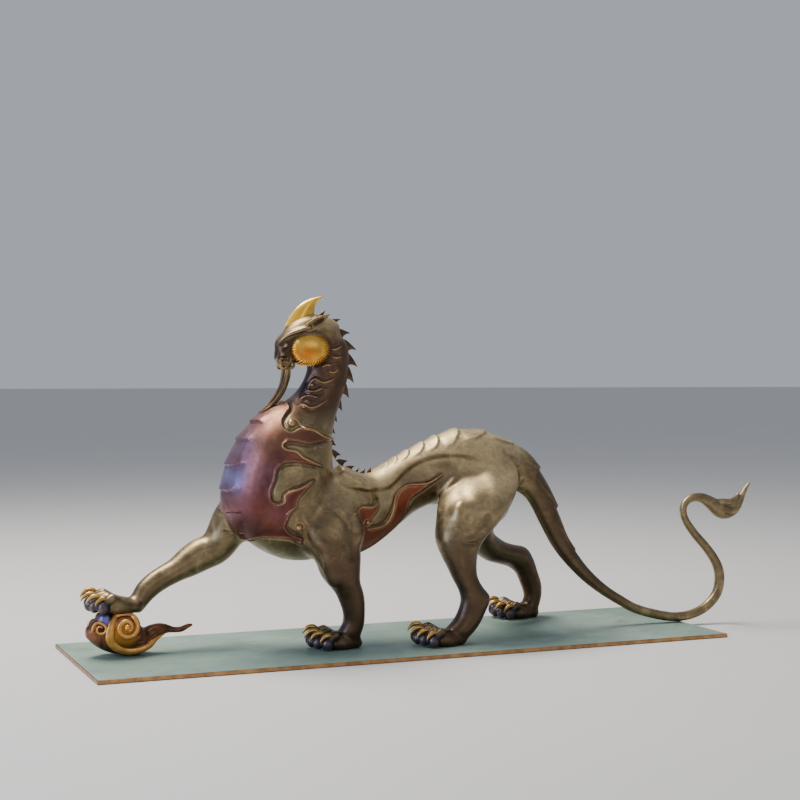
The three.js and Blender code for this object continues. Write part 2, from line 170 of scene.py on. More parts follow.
def thinOut(piece, triangles):
    # fewer faces where the surface is plain
    piece.data.calc_loop_triangles()
    count = len(piece.data.loop_triangles)
    if count > triangles:
        thinning = piece.modifiers.new("thin", "DECIMATE")
        thinning.ratio = triangles / count
        applyModifiers(piece)
    piece.data.shade_smooth()


# clay: the vertices of a fused piece, pushed in and out along their normals

class Clay:
    def __init__(self, piece):
        self.piece = piece
        mesh = piece.data
        self.count = len(mesh.vertices)
        self.at = self.read(mesh.vertices, "co", 3) / mm
        self.edges = self.read(mesh.edges, "vertices", 2).astype(int)
        self.touching = np.bincount(self.edges.ravel(), minlength=self.count).astype(float)
        self.normal = self.readNormals()
        self.lift = np.zeros(self.count)

    def read(self, items, what, width):
        kind = np.int32 if what == "vertices" else np.float32
        flat = np.zeros(len(items) * width, kind)
        items.foreach_get(what, flat)
        return flat.reshape(-1, width).astype(float)

    def readNormals(self):
        return self.read(self.piece.data.vertex_normals, "vector", 3)

    def write(self):
        self.piece.data.vertices.foreach_set("co", (self.at * mm).astype(np.float32).ravel())
        self.piece.data.update()
        self.normal = self.readNormals()

    def around(self, values):
        # the mean of each vertex's neighbours
        a, b = self.edges[:, 0], self.edges[:, 1]
        if values.ndim == 1:
            total = np.bincount(a, values[b], self.count) + np.bincount(b, values[a], self.count)
            return total / self.touching
        return np.stack([self.around(values[:, k]) for k in range(values.shape[1])], axis=1)

    def smooth(self, rounds, share=0.5, where=None):
        weight = share if where is None else (share * where)[:, None]
        for _ in range(rounds):
            self.at += weight * (self.around(self.at) - self.at)
        self.write()

    def hollowness(self, rounds):
        # how far each vertex lies under its neighbours, spread over the surface
        bend = np.einsum("ij,ij->i", self.around(self.at) - self.at, self.normal)
        for _ in range(rounds):
            bend = self.around(bend)
        return bend

    def spread(self, values, rounds):
        for _ in range(rounds):
            values = self.around(values)
        return values

    def press(self):
        self.at += self.normal * self.lift[:, None]
        self.lift[:] = 0
        self.write()


def rise(value, low, high):
    # 0 below low, 1 above high, eased between them
    t = np.clip((value - low) / (high - low), 0, 1)
    return t * t * (3 - 2 * t)


def bell(distance, width):
    return np.exp(-(distance / width) ** 2)


def toLine(points, line):
    # each point's distance to a line, the side it is on in the first and last coordinate, and how far along
    best = np.full(len(points), 1e9)
    side = np.zeros(len(points))
    share = np.zeros(len(points))
    for i in range(len(line) - 1):
        a, b = line[i], line[i + 1]
        run = b - a
        t = np.clip(((points - a) @ run) / max(run @ run, 1e-9), 0, 1)
        gap = points - (a + t[:, None] * run)
        distance = np.linalg.norm(gap, axis=1)
        closer = distance < best
        best = np.where(closer, distance, best)
        turned = run[0] * gap[:, -1] - run[-1] * gap[:, 0]
        side = np.where(closer, np.sign(turned), side)
        share = np.where(closer, (i + t) / (len(line) - 1), share)
    return best, side, share


def inOutline(points, outline):
    # how deep each flat point lies inside an outline, less than 0 outside it
    inside = np.zeros(len(points), bool)
    best = np.full(len(points), 1e9)
    for a, b in zip(outline, np.roll(outline, -1, axis=0)):
        crosses = (a[1] > points[:, 1]) != (b[1] > points[:, 1])
        slope = (b[0] - a[0]) * (points[:, 1] - a[1]) / (b[1] - a[1] if b[1] != a[1] else 1e-9) + a[0]
        inside ^= crosses & (points[:, 0] < slope)
        run = b - a
        t = np.clip(((points - a) @ run) / max(run @ run, 1e-9), 0, 1)
        best = np.minimum(best, np.linalg.norm(points - (a + t[:, None] * run), axis=1))
    return np.where(inside, best, -best)


# the figure's main forms: one edge x and z, the other edge x and z, y, half width

forms = {
    "neckAndChest": [
        (-67.5, 221, -51, 235, 0, 8), (-67, 212, -41.5, 223, 0, 11), (-71, 204.5, -39.5, 211.5, 0, 12),
        (-73, 198, -41, 200, 0, 12.5), (-76.5, 191.5, -43, 190, 0, 13.5), (-82, 185, -46.5, 180, 0, 15.5),
        (-91.5, 178.5, -51, 168.5, -1, 20), (-104, 172.5, -54, 157, -1, 27), (-115, 162.5, -55, 145, -2, 32),
        (-124, 151, -55, 131, -2, 36), (-130.5, 137, -57, 117, -2, 38.5), (-134.5, 119.5, -60, 106, -2, 39),
        (-133.5, 105, -62, 95, -2, 37), (-128, 93.5, -65, 84, -2, 32.5), (-118, 81.5, -66, 74.5, -2, 25.5),
        (-105, 72.5, -67, 67.5, -2, 16.5), (-91, 66.5, -72, 65, -2, 7),
    ],
    "trunk": [
        (-70, 66, -48, 134, -1, 30), (-46, 64.5, -39, 131, 0, 31), (-26, 71, -27.5, 126.5, 1, 26),
        (-10.5, 79.5, -15, 131, 2, 22), (1, 88, -1, 138.4, 3, 19), (13.5, 96.5, 12, 144.8, 4, 18),
        (28, 102, 24.5, 150.3, 5, 19), (42.5, 103.5, 37.5, 155.6, 6, 21.5), (55.5, 103, 50.5, 158.8, 7, 25),
        (69.5, 102, 64.5, 158.2, 8, 27.5), (81.5, 103, 76.5, 156.4, 8, 27), (89, 109, 88.5, 151.6, 8, 23),
        (95, 117, 99.5, 145, 8, 16), (99, 125, 107, 138, 8, 8),
    ],
    "nearForeleg": [
        (-79, 117, -38, 124, -14, 12), (-85, 104, -41, 111, -21, 14.5), (-86.5, 93, -43, 99, -26, 15.5),
        (-85, 82, -43.5, 87.5, -29, 15.5), (-80, 73.5, -42.5, 78, -30, 15), (-75, 66, -42, 69, -30, 14),
        (-72, 58, -42.5, 59, -30, 13), (-67, 51, -42.5, 51.5, -30, 11.5), (-60.5, 44, -40, 45.5, -29, 10),
        (-57, 37, -38, 38, -28, 9), (-54, 30, -37.5, 29, -27, 8.5), (-53, 22, -37.5, 19, -25, 8.8),
        (-57, 14, -41, 8, -23, 9.5),
    ],
    "nearHindLeg": [
        (48, 131, 90, 137, 0, 10), (40, 122, 94, 127.5, -9, 16), (30, 112, 89.5, 115.5, -17, 21),
        (23, 101, 80, 103, -24, 21.5), (19, 90, 66.5, 89, -29, 19.5), (16.5, 79.5, 54, 78.5, -33, 16.5),
        (19.5, 69, 48, 69, -35, 13.5), (23.5, 60, 46, 60, -37, 11.5), (27.5, 51, 46.5, 51.5, -38, 10),
        (32, 42, 51, 43.5, -39, 9), (33.5, 34.5, 57, 36, -39, 8.5), (31.5, 27.5, 53, 26, -39, 8.5),
        (27.5, 20.5, 47, 15.5, -39, 9), (21, 14.5, 39, 7, -39, 10),
    ],
    "farForeleg": [
        (-122, 122, -92, 84, 6, 12), (-129, 112, -106, 81, 16, 16), (-134.5, 101, -113.5, 78, 22, 15.5),
        (-137.5, 91.5, -120.5, 69, 25, 14.5), (-141.5, 83, -128, 62.5, 26, 13),
        (-149.5, 80.5, -138.5, 58.5, 25, 11.5), (-159.5, 74, -149, 54.5, 24, 10.5),
        (-168, 67, -159.5, 51.5, 22, 9), (-177, 62.5, -169.5, 47.5, 20, 8),
        (-185.5, 58, -177.5, 43.5, 17, 7.5), (-193, 52, -184, 38.5, 15, 7.5),
        (-197.5, 45.5, -188.5, 34, 13, 7.5), (-202, 40, -193, 30.5, 11, 8),
    ],
    "farHindLeg": [
        (62, 110, 96, 118, 20, 16), (66, 95, 98, 105, 28, 17), (72, 77, 97, 91, 34, 16),
        (82, 61, 95, 78, 39, 14), (93.5, 52.5, 107, 68.5, 44, 12.5), (106.5, 48.5, 119, 64, 48, 11),
        (118, 45, 133.5, 60.5, 53, 9.8), (126.5, 39.5, 141.5, 51, 56, 9), (130.5, 32.5, 146, 40, 57, 8.3),
        (134, 25, 150, 30, 58, 8), (135.5, 18, 150, 19, 58, 8), (131, 12, 146.5, 8, 58, 9),
    ],
}
# round-sectioned forms: x, y, z, half width, half depth
roundForms = {
    "tail": [
        (80, 8, 133, 14, 17), (96, 8, 131, 12.5, 17), (108, 7, 122, 10.5, 14.5), (119.5, 6, 109, 9, 10.8),
        (130, 4, 86.5, 8, 9), (139, 2, 67, 7, 7.2), (154.5, -1, 47, 5.6, 5.7), (170, -4, 33, 4.7, 4.7),
        (186, -7, 22.4, 4.3, 4.3), (203, -9, 13.8, 4.2, 4.2), (233.5, -12, 7.1, 4.1, 4.1),
        (257, -12, 10.8, 4.1, 4.1), (272, -12, 22.4, 4.3, 4.3), (275.6, -12, 36.8, 4.4, 4.4),
        (272, -12, 49, 4.2, 4.2), (262.6, -12, 61.5, 3.9, 3.9), (251.3, -12, 73.2, 3.7, 3.7),
        (242.8, -12, 84.7, 3.4, 3.4), (241, -12, 94.4, 3.3, 3.3), (247.4, -12, 101, 3.5, 3.6),
        (257.8, -12, 101.4, 4, 4.2), (267.3, -12, 96.7, 5.4, 5.6), (277.8, -12, 90, 6.3, 6.8),
        (288.3, -12, 91.5, 5, 5.6), (295, -12, 98.3, 3.2, 3.6), (299.5, -12, 106.5, 2.4, 2.6),
        (303.5, -12, 111.5, 2, 2), (306.6, -12, 114.4, 1.3, 1.2),
    ],
    "skull": [
        (-51, 0, 228, 8.5, 9.5), (-59, 0, 231.5, 12, 10.8), (-69, 0, 231.5, 13, 12),
        (-78, 0, 227.5, 11.5, 11.5), (-85.5, 0, 221, 9, 9), (-90.5, 0, 214, 7.2, 6.6),
        (-93.5, 0, 209, 4, 3.6),
    ],
    "jaw": [(-62, 0, 214, 8, 7), (-74, 0, 213, 7, 5.5), (-84, 0, 212, 6, 5), (-90, 0, 210, 5, 4)],
}
# muscles: the middle, the three half sizes, the tilt
muscles = [
    ((-43, -19, 116), (19, 10, 12), 28), ((-43, 18, 116), (19, 10, 12), 28),
    ((62, -21, 105), (19, 17, 18), 30), ((78, 26, 108), (18, 16, 18), 30),
    ((-60, -34, 88), (17, 9, 20), 10), ((-62, -36, 62), (9, 8, 14), 8),
    ((40, -37, 92), (14, 10, 18), -20), ((-118, 28, 92), (13, 9, 16), 30),
    ((-57, 25, 108), (20, 10, 26), 12), ((-51, -36, 85), (9, 8, 12), 20), ((-67, -37, 72), (8, 7, 14), 10),
    ((34, -40, 66), (8, 7, 14), -10),
]

# The creases between the forms are filled like wax, and the forms themselves are hardly smoothed.
say("main forms")
body = bmesh.new()
for rows in forms.values():
    addSkin(body, outlineRings(rows), sides=32)
for name, rows in roundForms.items():
    addSkin(body, limbRings(rows, perRow=5), sides=24)
for at, size, tilt in muscles:
    addBall(body, at, size, tilt)
pixiu = makeObject("pixiuFigure", body)
fuse(pixiu, 1.5)
clay = Clay(pixiu)
clay.smooth(3)
for rounds in range(3):
    crease = np.clip(clay.spread(np.clip(clay.hollowness(1), 0, 0.25) / 0.06, 7) * 2.2, 0, 1)
    clay.smooth(22, 0.6, crease)
clay.smooth(2)
coarse = clay.piece.data

# paws: where the palm is, which side the long inner toe is on, how high the sole is

paws = {
    "nearFront": {"palm": (-54, -22), "inner": far, "sole": 3.1},
    "nearHind": {"palm": (21, -39), "inner": far, "sole": 3.1},
    "farHind": {"palm": (131, 58), "inner": far, "sole": 3.1},
    "farFront": {"palm": (-207, 10), "inner": far, "sole": 33.5},
}
toes = [  # how far to the inner side, how far the ball is ahead of the palm, the claw's rise
    {"aside": -9.5, "ahead": 14, "rise": 0}, {"aside": -3.5, "ahead": 19, "rise": 1},
    {"aside": 3.5, "ahead": 21, "rise": 2}, {"aside": 10, "ahead": 20, "rise": 4},
]
balls = []  # the toes' balls, for their colour


def toePlace(paw, toe):
    x, y = paw["palm"]
    return lambda forward, spread, up: (
        x - forward, y + paw["inner"] * toe["aside"] * spread, paw["sole"] + up)


def addPaw(bm, paw):
    x, y = paw["palm"]
    sole = paw["sole"]
    addBall(bm, (x - 1, y, sole + 4), (13, 11, 7.2))
    addBall(bm, (x + 10, y, sole + 3.6), (7, 8, 5))
    for toe in toes:
        ahead, up = toe["ahead"], toe["rise"]
        place = toePlace(paw, toe)
        rows = [(*place(-4, 0.35, 7), 3.6, 3.4), (*place(3, 0.6, 9), 3.3, 3.2),
                (*place(ahead * 0.5, 0.85, 10.6 + up / 2), 3.4, 3.3),
                (*place(ahead * 0.74, 0.97, 9 + up / 2), 2.9, 3),
                (*place(ahead * 0.92, 1, 5.5 + up / 3), 3, 3)]
        addSkin(bm, limbRings(rows, 4), sides=14)
        addBall(bm, place(ahead * 0.5, 0.86, 10.6 + up / 2), (3.7, 3.5, 3.7), 0, 3)
        ball = place(ahead * 0.95, 1.02, 4.7 + up / 3)
        addBall(bm, ball, (4.3, 3.9, 4.6), 0, 3)
        balls.append(ball)


say("fine forms")
body = bmesh.new()
body.from_mesh(coarse)
bmesh.ops.scale(body, vec=(1 / mm,) * 3, verts=body.verts)
for paw in paws.values():
    addPaw(body, paw)
for side in (near, far):
    addSkin(body, limbRings(mirroredRows([  # the brow's edge
        (-95.5, 1.5, 219, 0.9, 0.9), (-92.8, 5, 224, 1.5, 1.4), (-87.5, 8.6, 228.4, 2, 1.8),
        (-80, 11.2, 231.4, 2, 1.8), (-73, 12.6, 233.6, 1.4, 1.4)], side), 4), sides=12)
    addBall(body, (-90.3, side * 7.5, 220.6), (2.7, 1.7, 1.9), -35, 3)  # eye
    addBall(body, (-91.5, side * 5.4, 214.8), (3.2, 2.4, 2), -50, 3)  # muzzle pad
    addBall(body, (-94.2, side * 2.6, 211.5), (2, 1.8, 1.8), 0, 3)  # nostril wing
addSkin(body, limbRings([  # the tail's upper lock
    (268, -13, 97, 2.4, 2.4), (276, -14.4, 97.5, 3, 3), (284, -14.8, 97.4, 2.8, 2.8), (290, -14, 100.8, 2, 2),
    (293, -13, 104.5, 1.2, 1.2)], 5), sides=14)
old = pixiu
pixiu = makeObject("pixiuFigure", body)
bpy.data.objects.remove(old)
pixiu.name = "pixiuFigure"
fuse(pixiu, 0.8)
clay = Clay(pixiu)
clay.smooth(4)
say(f"{clay.count} points to carve")
for paw in paws.values():  # the creases where the legs meet the paws are smoothed
    x, y = paw["palm"]
    clay.smooth(40, 0.6, bell(np.linalg.norm(
        (clay.at - (x + 11, y, paw["sole"] + 7)) / (12, 18, 9), axis=1), 1))

# scutes: shells along the spine, each lying over the one behind it

scutes = [  # where each ends, x and z, half its width, the step at its end
    (-17, 131.5, 7, 0), (-8.7, 136.3, 8, 1), (-1.3, 139.8, 8.5, 1.2), (8.8, 144.8, 9.5, 1.4),
    (21.4, 149.9, 11.5, 1.5), (32.4, 155.4, 13.6, 1.6), (50.9, 160, 17.5, 1.8), (74.6, 158.4, 18.7, 1.9),
    (99.2, 148.5, 17, 2),
    (122.2, 127.7, 11, 2.2), (137.6, 97.4, 8.5, 2.2), (151, 62.8, 7, 1.8), (168, 41, 6, 0)]
spine = {"x": [-15, 12, 50, 75, 108, 130, 139, 155], "y": [2, 4, 7, 8, 7, 4, 2, -1]}


def scuteLift(at, normal):
    line = np.array([row[:2] for row in scutes], float)
    runs = np.diff(line, axis=0)
    gap, side, share = toLine(at[:, [0, 2]], line)
    place = share * (len(line) - 1)
    aside = np.abs(at[:, 1] - np.interp(at[:, 0], spine["x"], spine["y"]))
    lift = np.zeros(len(at))
    for k in reversed(range(1, len(scutes))):
        length = np.linalg.norm(runs[k - 1])
        across = [np.clip(aside / scutes[j][2], 0, 0.995) for j in (k - 1, k)]
        before, end = [j - 1 + np.sqrt(1 - q * q) for j, q in zip((k - 1, k), across)]
        slope = length * across[1] / scutes[k][2] / np.sqrt(1 - across[1] ** 2)
        inside = rise((end - place) * length / np.hypot(1, slope), -0.4, 0.4)
        grown = np.clip((place - before) / np.maximum(end - before, 0.05), 0, 1)
        here = inside * rise(place - k + 1.5, 0, 0.5) * rise(1 - aside / scutes[k][2], 0, 0.1)
        lift += here * (scutes[k][3] * (grown ** 1.3 - 0.4) - lift)
    run = runs[np.clip(place.astype(int), 0, len(runs) - 1)]
    facing = (normal[:, 2] * run[:, 0] - normal[:, 0] * run[:, 1]) / np.linalg.norm(run, axis=1)
    return lift * rise(facing, 0.05, 0.35) * (1 - rise(gap, 10, 14)) * rise(place, 0, 0.4)


clay.lift += scuteLift(clay.at, clay.normal)
clay.press()

# carving

turn = math.radians(22.6)  # the relief is drawn as seen from a little ahead of square-on


def seen(at):
    # across and height of points as both flanks are drawn, measured from the body's own middle
    middle = np.interp(at[:, 0], [-130, -46, 28, 70], [-1, 0, 5, 8])
    across = math.cos(turn) * at[:, 0] + math.sin(turn) * (np.abs(at[:, 1] - middle) - middle)
    return np.stack([across, at[:, 2]], axis=1)


tree = BVHTree.FromObject(pixiu, bpy.context.evaluated_depsgraph_get())


def layOn(points, side, step=1.0, front=False):
    # a drawn line put on the flank that it belongs to
    # a front one is drawn as across and height of the breast
    laid = []
    for across, height in evenly(splineThrough(points, 6), step):
        if front:
            start, way = Vector((-400, side * across, height)), Vector((1, 0, 0))
        else:
            way = Vector((math.sin(turn), -side * math.cos(turn), 0))
            start = Vector((math.cos(turn), side * math.sin(turn), 0)) * across - way * 400
            start.z = height
        hit = tree.ray_cast(start * mm, way)[0]
        if not hit and not front:  # just over the outline: the nearest skin
            hit = tree.find_nearest((start + way * 400) * mm, 0.006)[0]
        if hit:
            laid.append(tuple(hit / mm))
    return np.array(laid)


def carve(points, act, reach=8.0, front=False, solid=False):
    # solid lines are given as points in the room, the others as drawn on a flank or on the breast
    for side in (near, far):
        line = (evenly(splineThrough(mirroredRows(points, side), 6), 1) if solid
                else layOn(points, side, front=front))
        if len(line) < 3:
            continue
        low, high = line.min(0) - reach, line.max(0) + reach
        picked = np.where(((clay.at > low) & (clay.at < high)).all(1))[0]
        gap, turned, share = toLine(clay.at[picked], line)
        picked, gap, turned, share = [x[gap < reach] for x in (picked, gap, turned, share)]
        if front:  # the side is read by height there
            turned = np.sign(clay.at[picked, 2] - np.interp(
                side * clay.at[picked, 1], side * line[:, 1], line[:, 2]))
        clay.lift[picked] += act(gap, turned, share)


def ridge(height, width):
    return lambda gap, turned, share: height * bell(gap, width) * rise(np.minimum(share, 1 - share), 0, 0.15)


def terrace(height, slope):
    # higher on the line's upper side, lower on the other
    def act(gap, turned, share):
        ends = rise(np.minimum(share, 1 - share), 0, 0.15)
        return height * ends * (2 * rise(turned * gap, -1.6, 1.6) - 1) * np.exp(-gap / slope)
    return act


def groove(depth, width):
    return ridge(-depth, width)


say("muscles and ridges")
swells = [  # drawn line, height, width
    ([(-46, 140), (-38, 128), (-24, 120)], 1.2, 3),
    ([(-60, 146), (-56, 137), (-48, 129), (-40, 124)], 1.1, 3.2),
    ([(-36, 124), (-28, 121), (-20, 116), (-14, 110)], 1.0, 2.6),
    ([(-62, 100), (-58, 88), (-50, 78), (-46, 66)], 0.8, 4.5),
    ([(-73, 96), (-70, 84), (-62, 70), (-58, 58)], 0.8, 4),
    ([(64, 128), (72, 118), (72, 106), (62, 94)], 1.2, 5.5),
    ([(29, 93), (31, 106), (35, 114), (41, 121), (46, 123)], 1.1, 2.6),
    ([(-47, 243), (-42, 231), (-37.5, 223), (-35.5, 212), (-36.5, 200), (-40, 190)], 0.8, 1.2),
]
hollows = [
    ([(-20, 108), (-6, 110), (3, 119), (16, 127), (31, 130), (45, 127)], 1.7, 6),
    ([(79, 146), (83, 139), (91, 131), (95, 120), (88, 112)], 1.6, 2.2),
    ([(46, 78), (52, 77), (57, 77), (60, 80)], 1.5, 1.3),
    ([(-33, 104), (-31, 90), (-31, 78), (-33, 66)], 1.2, 3.5),
    ([(-66, 96), (-64, 84), (-56, 72), (-52, 60)], 1.1, 2.2),
    ([(-52, 108), (-44, 103), (-37, 96), (-34, 88)], 1.0, 2),
    ([(47, 118), (50, 106), (52, 94), (48, 84)], 0.9, 4.5),
    ([(-30, 118), (-22, 112), (-18, 106)], 0.9, 1.8),
]
backRidge = [(-47, 124), (-38, 120), (-27, 117), (-13, 116), (-4, 119), (5, 128), (16, 135), (31, 139),
             (50, 138.5), (62, 135)]
carve(backRidge, terrace(1.5, 7), reach=20)
for line, height, width in swells:
    carve(line, ridge(height, width), reach=3 * width)
for line, depth, width in hollows:
    carve(line, groove(depth, width), reach=3 * width)
for line, depth, width in [  # under the brow, below the eye, along the lip
        ([(-94, 5.5, 219), (-90.5, 8.6, 223.6), (-84, 10.8, 226.8), (-76, 12, 229.8)], 1.3, 1.5),
        ([(-93, 6, 217.4), (-88, 8.4, 217.6), (-83, 9.6, 219.6)], 0.9, 1),
        ([(-95.5, 4, 211.8), (-91, 6.2, 210.8), (-85.5, 8, 211.6)], 0.9, 0.9),
        ([(-87.4, 3.4, 238), (-80, 6.4, 240.3), (-72, 7.4, 241.2), (-66.5, 5.5, 242)], 0.6, 0.8)]:
    carve(line, groove(depth, width), reach=3 * width, solid=True)
clay.press()
clay.smooth(1)

neckLocks = [  # drawn line, thickness of its rim
    ([(-70, 176.5), (-68, 178.5), (-65.5, 177), (-62, 175.6), (-57, 177), (-51, 181)], 0.6),
    ([(-70.5, 181), (-67, 184), (-62, 184.2), (-58, 183)], 0.55),
    ([(-67, 189), (-63, 187.4), (-58, 188), (-54, 190.4)], 0.45),
    ([(-65, 189.5), (-63, 194), (-60, 196.5), (-56.5, 194.5), (-53, 193.6), (-49, 195), (-45.5, 196.5)], 0.6),
    ([(-49, 218), (-46, 217.5), (-44, 218.2), (-41, 220)], 0.45),
    ([(-47.5, 212.5), (-45, 211.4), (-41, 212.4)], 0.45),
    ([(-49.5, 201.5), (-46, 200.8), (-43, 204)], 0.45), ([(-55, 204.5), (-51.5, 206.6), (-48, 206)], 0.4),
]
for line, thick in neckLocks:
    carve(line, lambda gap, turned, share: rise(np.minimum(share, 1 - share), 0, 0.2) * (
        0.6 * bell(gap, 1.1) - 0.6 * bell(gap - 2.6, 1.1)), reach=6)
clay.press()

say("copper flames")
copperShapes = [
    [(-150, 190), (-108, 178), (-97, 174), (-88, 176), (-83.5, 178), (-80.5, 181), (-76, 175), (-79, 172),
     (-82, 166), (-80, 161), (-75, 158.5), (-70, 161.5), (-67, 162), (-59, 160), (-52, 155), (-44, 153),
     (-54, 152), (-62, 150), (-70, 152), (-77, 153), (-80, 150), (-77, 147), (-71, 146), (-67, 142),
     (-63, 140), (-52, 134), (-62, 136.5), (-69, 138), (-79, 138), (-84, 134), (-85, 126), (-88, 119),
     (-88, 112), (-83, 110), (-79, 112), (-79, 116), (-74, 119), (-67, 121), (-57, 127), (-66, 117),
     (-70, 112), (-71, 106), (-75, 103), (-77, 98), (-79, 93), (-76, 89), (-71, 86), (-66, 84), (-62, 78),
     (-70, 81), (-76, 85), (-98, 86), (-106, 82), (-150, 80)],
    [(-50, 92), (-37, 98), (-29, 101), (-26, 105), (-17, 104), (-15, 109.5), (-14, 102), (-19, 97),
     (-24, 89.5), (-22, 88), (-10, 90), (-4, 99), (-1, 112), (7, 118), (16, 118), (24, 119), (34, 126),
     (16, 113), (9, 109), (5, 98), (0, 90), (-8, 83), (-22, 73), (-50, 64)],
]


def skinTree(names):
    # the smooth skins of some forms, to tell which form a point belongs to
    skin = bmesh.new()
    for name in names:
        addSkin(skin, outlineRings(forms[name], grow=0.8), sides=40)
    found = BVHTree.FromBMesh(skin)
    skin.free()
    return found


trees = {name: skinTree(names) for name, names in {
    "reaching": ["farForeleg"], "standing": ["nearForeleg"], "chest": ["neckAndChest"],
    "barrel": ["neckAndChest", "trunk"]}.items()}


def onBody(at, normal):
    # 1 where a point is on the trunk's outside, 0 on the forelegs and the inner sides
    share = np.ones(len(at))
    x, z = at[:, 0], at[:, 2]
    for leg, trunk, picked in [("reaching", "chest", (x < -84) & (z < 128)),
                               ("standing", "barrel", (x > -88) & (x < -24) & (z < 118) & (at[:, 1] < 0))]:
        for i in np.where(picked)[0]:
            spot = Vector(at[i])
            legGap, trunkGap = trees[leg].find_nearest(spot)[3], trees[trunk].find_nearest(spot)[3]
            share[i] *= np.clip(0.5 + (legGap - trunkGap) / 2.4, 0, 1)
    middle = np.interp(x, [-130, -46, 28, 70], [-1, 0, 5, 8])
    share *= rise(np.sign(at[:, 1] - middle) * normal[:, 1], -0.5, -0.15)
    start = (at[:, 1] > middle) & (x > -62) & (z < 106)
    share *= np.where(start, rise(seen(at)[:, 0], -46, -30), 1)
    return share * np.where(z < 62, 0, 1)


def copperDepth(at):
    flat = seen(at)
    deep = np.full(len(at), -99.0)
    for shape in copperShapes:
        outline = cutCorners(shape)
        low, high = outline.min(0) - 6, outline.max(0) + 6
        picked = np.where(((flat > low) & (flat < high)).all(1) & (at[:, 0] > -140))[0]
        deep[picked] = np.maximum(deep[picked], inOutline(flat[picked], outline))
    return deep


belongs = onBody(clay.at, clay.normal)
deep = copperDepth(clay.at)
step = rise(deep, -0.5, 0.7)
clay.lift += belongs * (1.2 * step + 0.5 * bell(deep - 0.8, 0.7) - 0.9 * bell(deep + 1.1, 0.7))
clay.press()

say("plates of the breast")
breastPlates = [  # across and height, seen from the front
    [(0, 165), (8, 166), (13, 165.8), (16, 165)], [(0, 152.5), (10, 153), (17, 153), (20, 152.6)],
    [(0, 135), (12, 136), (20, 137.4), (24, 137.6)], [(0, 117.5), (12, 118), (19, 119), (24, 120)],
    [(0, 102), (10, 102.5), (20, 103), (24, 103.6)], [(0, 87), (8, 87), (13, 87.4)],
]


def breastEdge(gap, turned, share):
    ends = rise(1 - share, 0, 0.3)
    return ends * np.where(turned > 0, 1.3 * np.exp(-gap / 5) * rise(gap, -0.3, 0.4), -0.9 * bell(gap, 1.1))


for line in breastPlates:
    carve(line, breastEdge, reach=13, front=True)
clay.press()

# the tail's tuft is parted into locks
for line in ([(246, 96), (256, 98), (266, 94), (274, 93.5), (280, 96), (285, 104)],
             [(262, 90), (268, 87.5), (275, 88.5), (280, 93.5)]):
    carve(line, groove(0.9, 0.9), reach=4)
clay.press()
clay.at[:, 2] = np.maximum(clay.at[:, 2], 3.1)
clay.write()
say("thinning the figure")
thinOut(pixiu, 192000)
clay = Clay(pixiu)
say(f"{clay.count} points kept")


# what the finish follows, kept on each point

def keep(piece, name, values):
    attribute = piece.data.attributes.new(name, "FLOAT", "POINT")
    attribute.data.foreach_set("value", np.clip(values, 0, 1).astype(np.float32))


def recessOf(clay, rounds):
    bend = np.einsum("ij,ij->i", clay.around(clay.at) - clay.at, clay.normal)
    length = np.linalg.norm(clay.at[clay.edges[:, 0]] - clay.at[clay.edges[:, 1]], axis=1)
    mean = (np.bincount(clay.edges[:, 0], length, clay.count)
            + np.bincount(clay.edges[:, 1], length, clay.count)) / clay.touching
    return clay.spread(bend / np.maximum(mean, 0.2), rounds)


bend = recessOf(clay, 3)
deep = copperDepth(clay.at)
belongs = onBody(clay.at, clay.normal)
flat = seen(clay.at)
copper = rise(deep, -0.3, 0.5) * belongs
across, height = flat[:, 0], flat[:, 1]
x, y, z = clay.at.T
bandEdge = np.interp(
    height, [80, 85, 104, 119, 136, 150, 164, 176], [-96, -99, -105, -105, -101, -98, -94, -92])
band = rise(bandEdge - across, -9, 6) * rise(height, 84, 96) * (1 - rise(height, 162, 178))
patch = bell(np.hypot(across + 88, height - 128), 12) + 0.5 * bell(np.hypot(across + 84, height - 104), 9)
keep(pixiu, "copper", copper)
keep(pixiu, "rust", copper * rise(x, -52, -36))
# purple-brown patina on the breast band and two patches, with a painted lilac sheen over it
keep(pixiu, "lilac", copper * (band + 0.8 * patch))
# painted reflection: blue-white glints along the upper edges of the breast plates
keep(pixiu, "sky", copper * rise(bandEdge - across, 0, 10) * (
    bell(height - 127, 9) + 0.4 * bell(height - 150, 8)))
keep(pixiu, "recess", bend / 0.28)
keep(pixiu, "ridge", -bend / 0.28)
keep(pixiu, "gutter", bell(deep + 0.7, 0.55) * belongs)
neckPart = rise(z, 160, 178) * (1 - rise(z, 221, 229)) * rise(-x, 38, 44)
keep(pixiu, "neck", neckPart)
# navy, kept as blue: the toes' balls, painted shade in the throat under the jaw, and a painted bluish
# reflection on the shins that face forward
ballGap = np.full(clay.count, 99.0)
for ball in balls:
    ballGap = np.minimum(ballGap, np.linalg.norm((clay.at - np.array(ball)) / (4.6, 4.3, 4.9), axis=1))
throat = bell(np.linalg.norm((clay.at - (-77, 0, 192)) / (10, 18, 14), axis=1), 1)
shins = (0.45 * rise(-clay.normal[:, 0], 0.45, 0.9) * rise(z, 6, 14)
         * (1 - rise(z, 40, 62)) * rise(120 - x, 0, 40))
keep(pixiu, "blue", rise(-ballGap, -1.25, -1.02) + 0.9 * throat + shins)
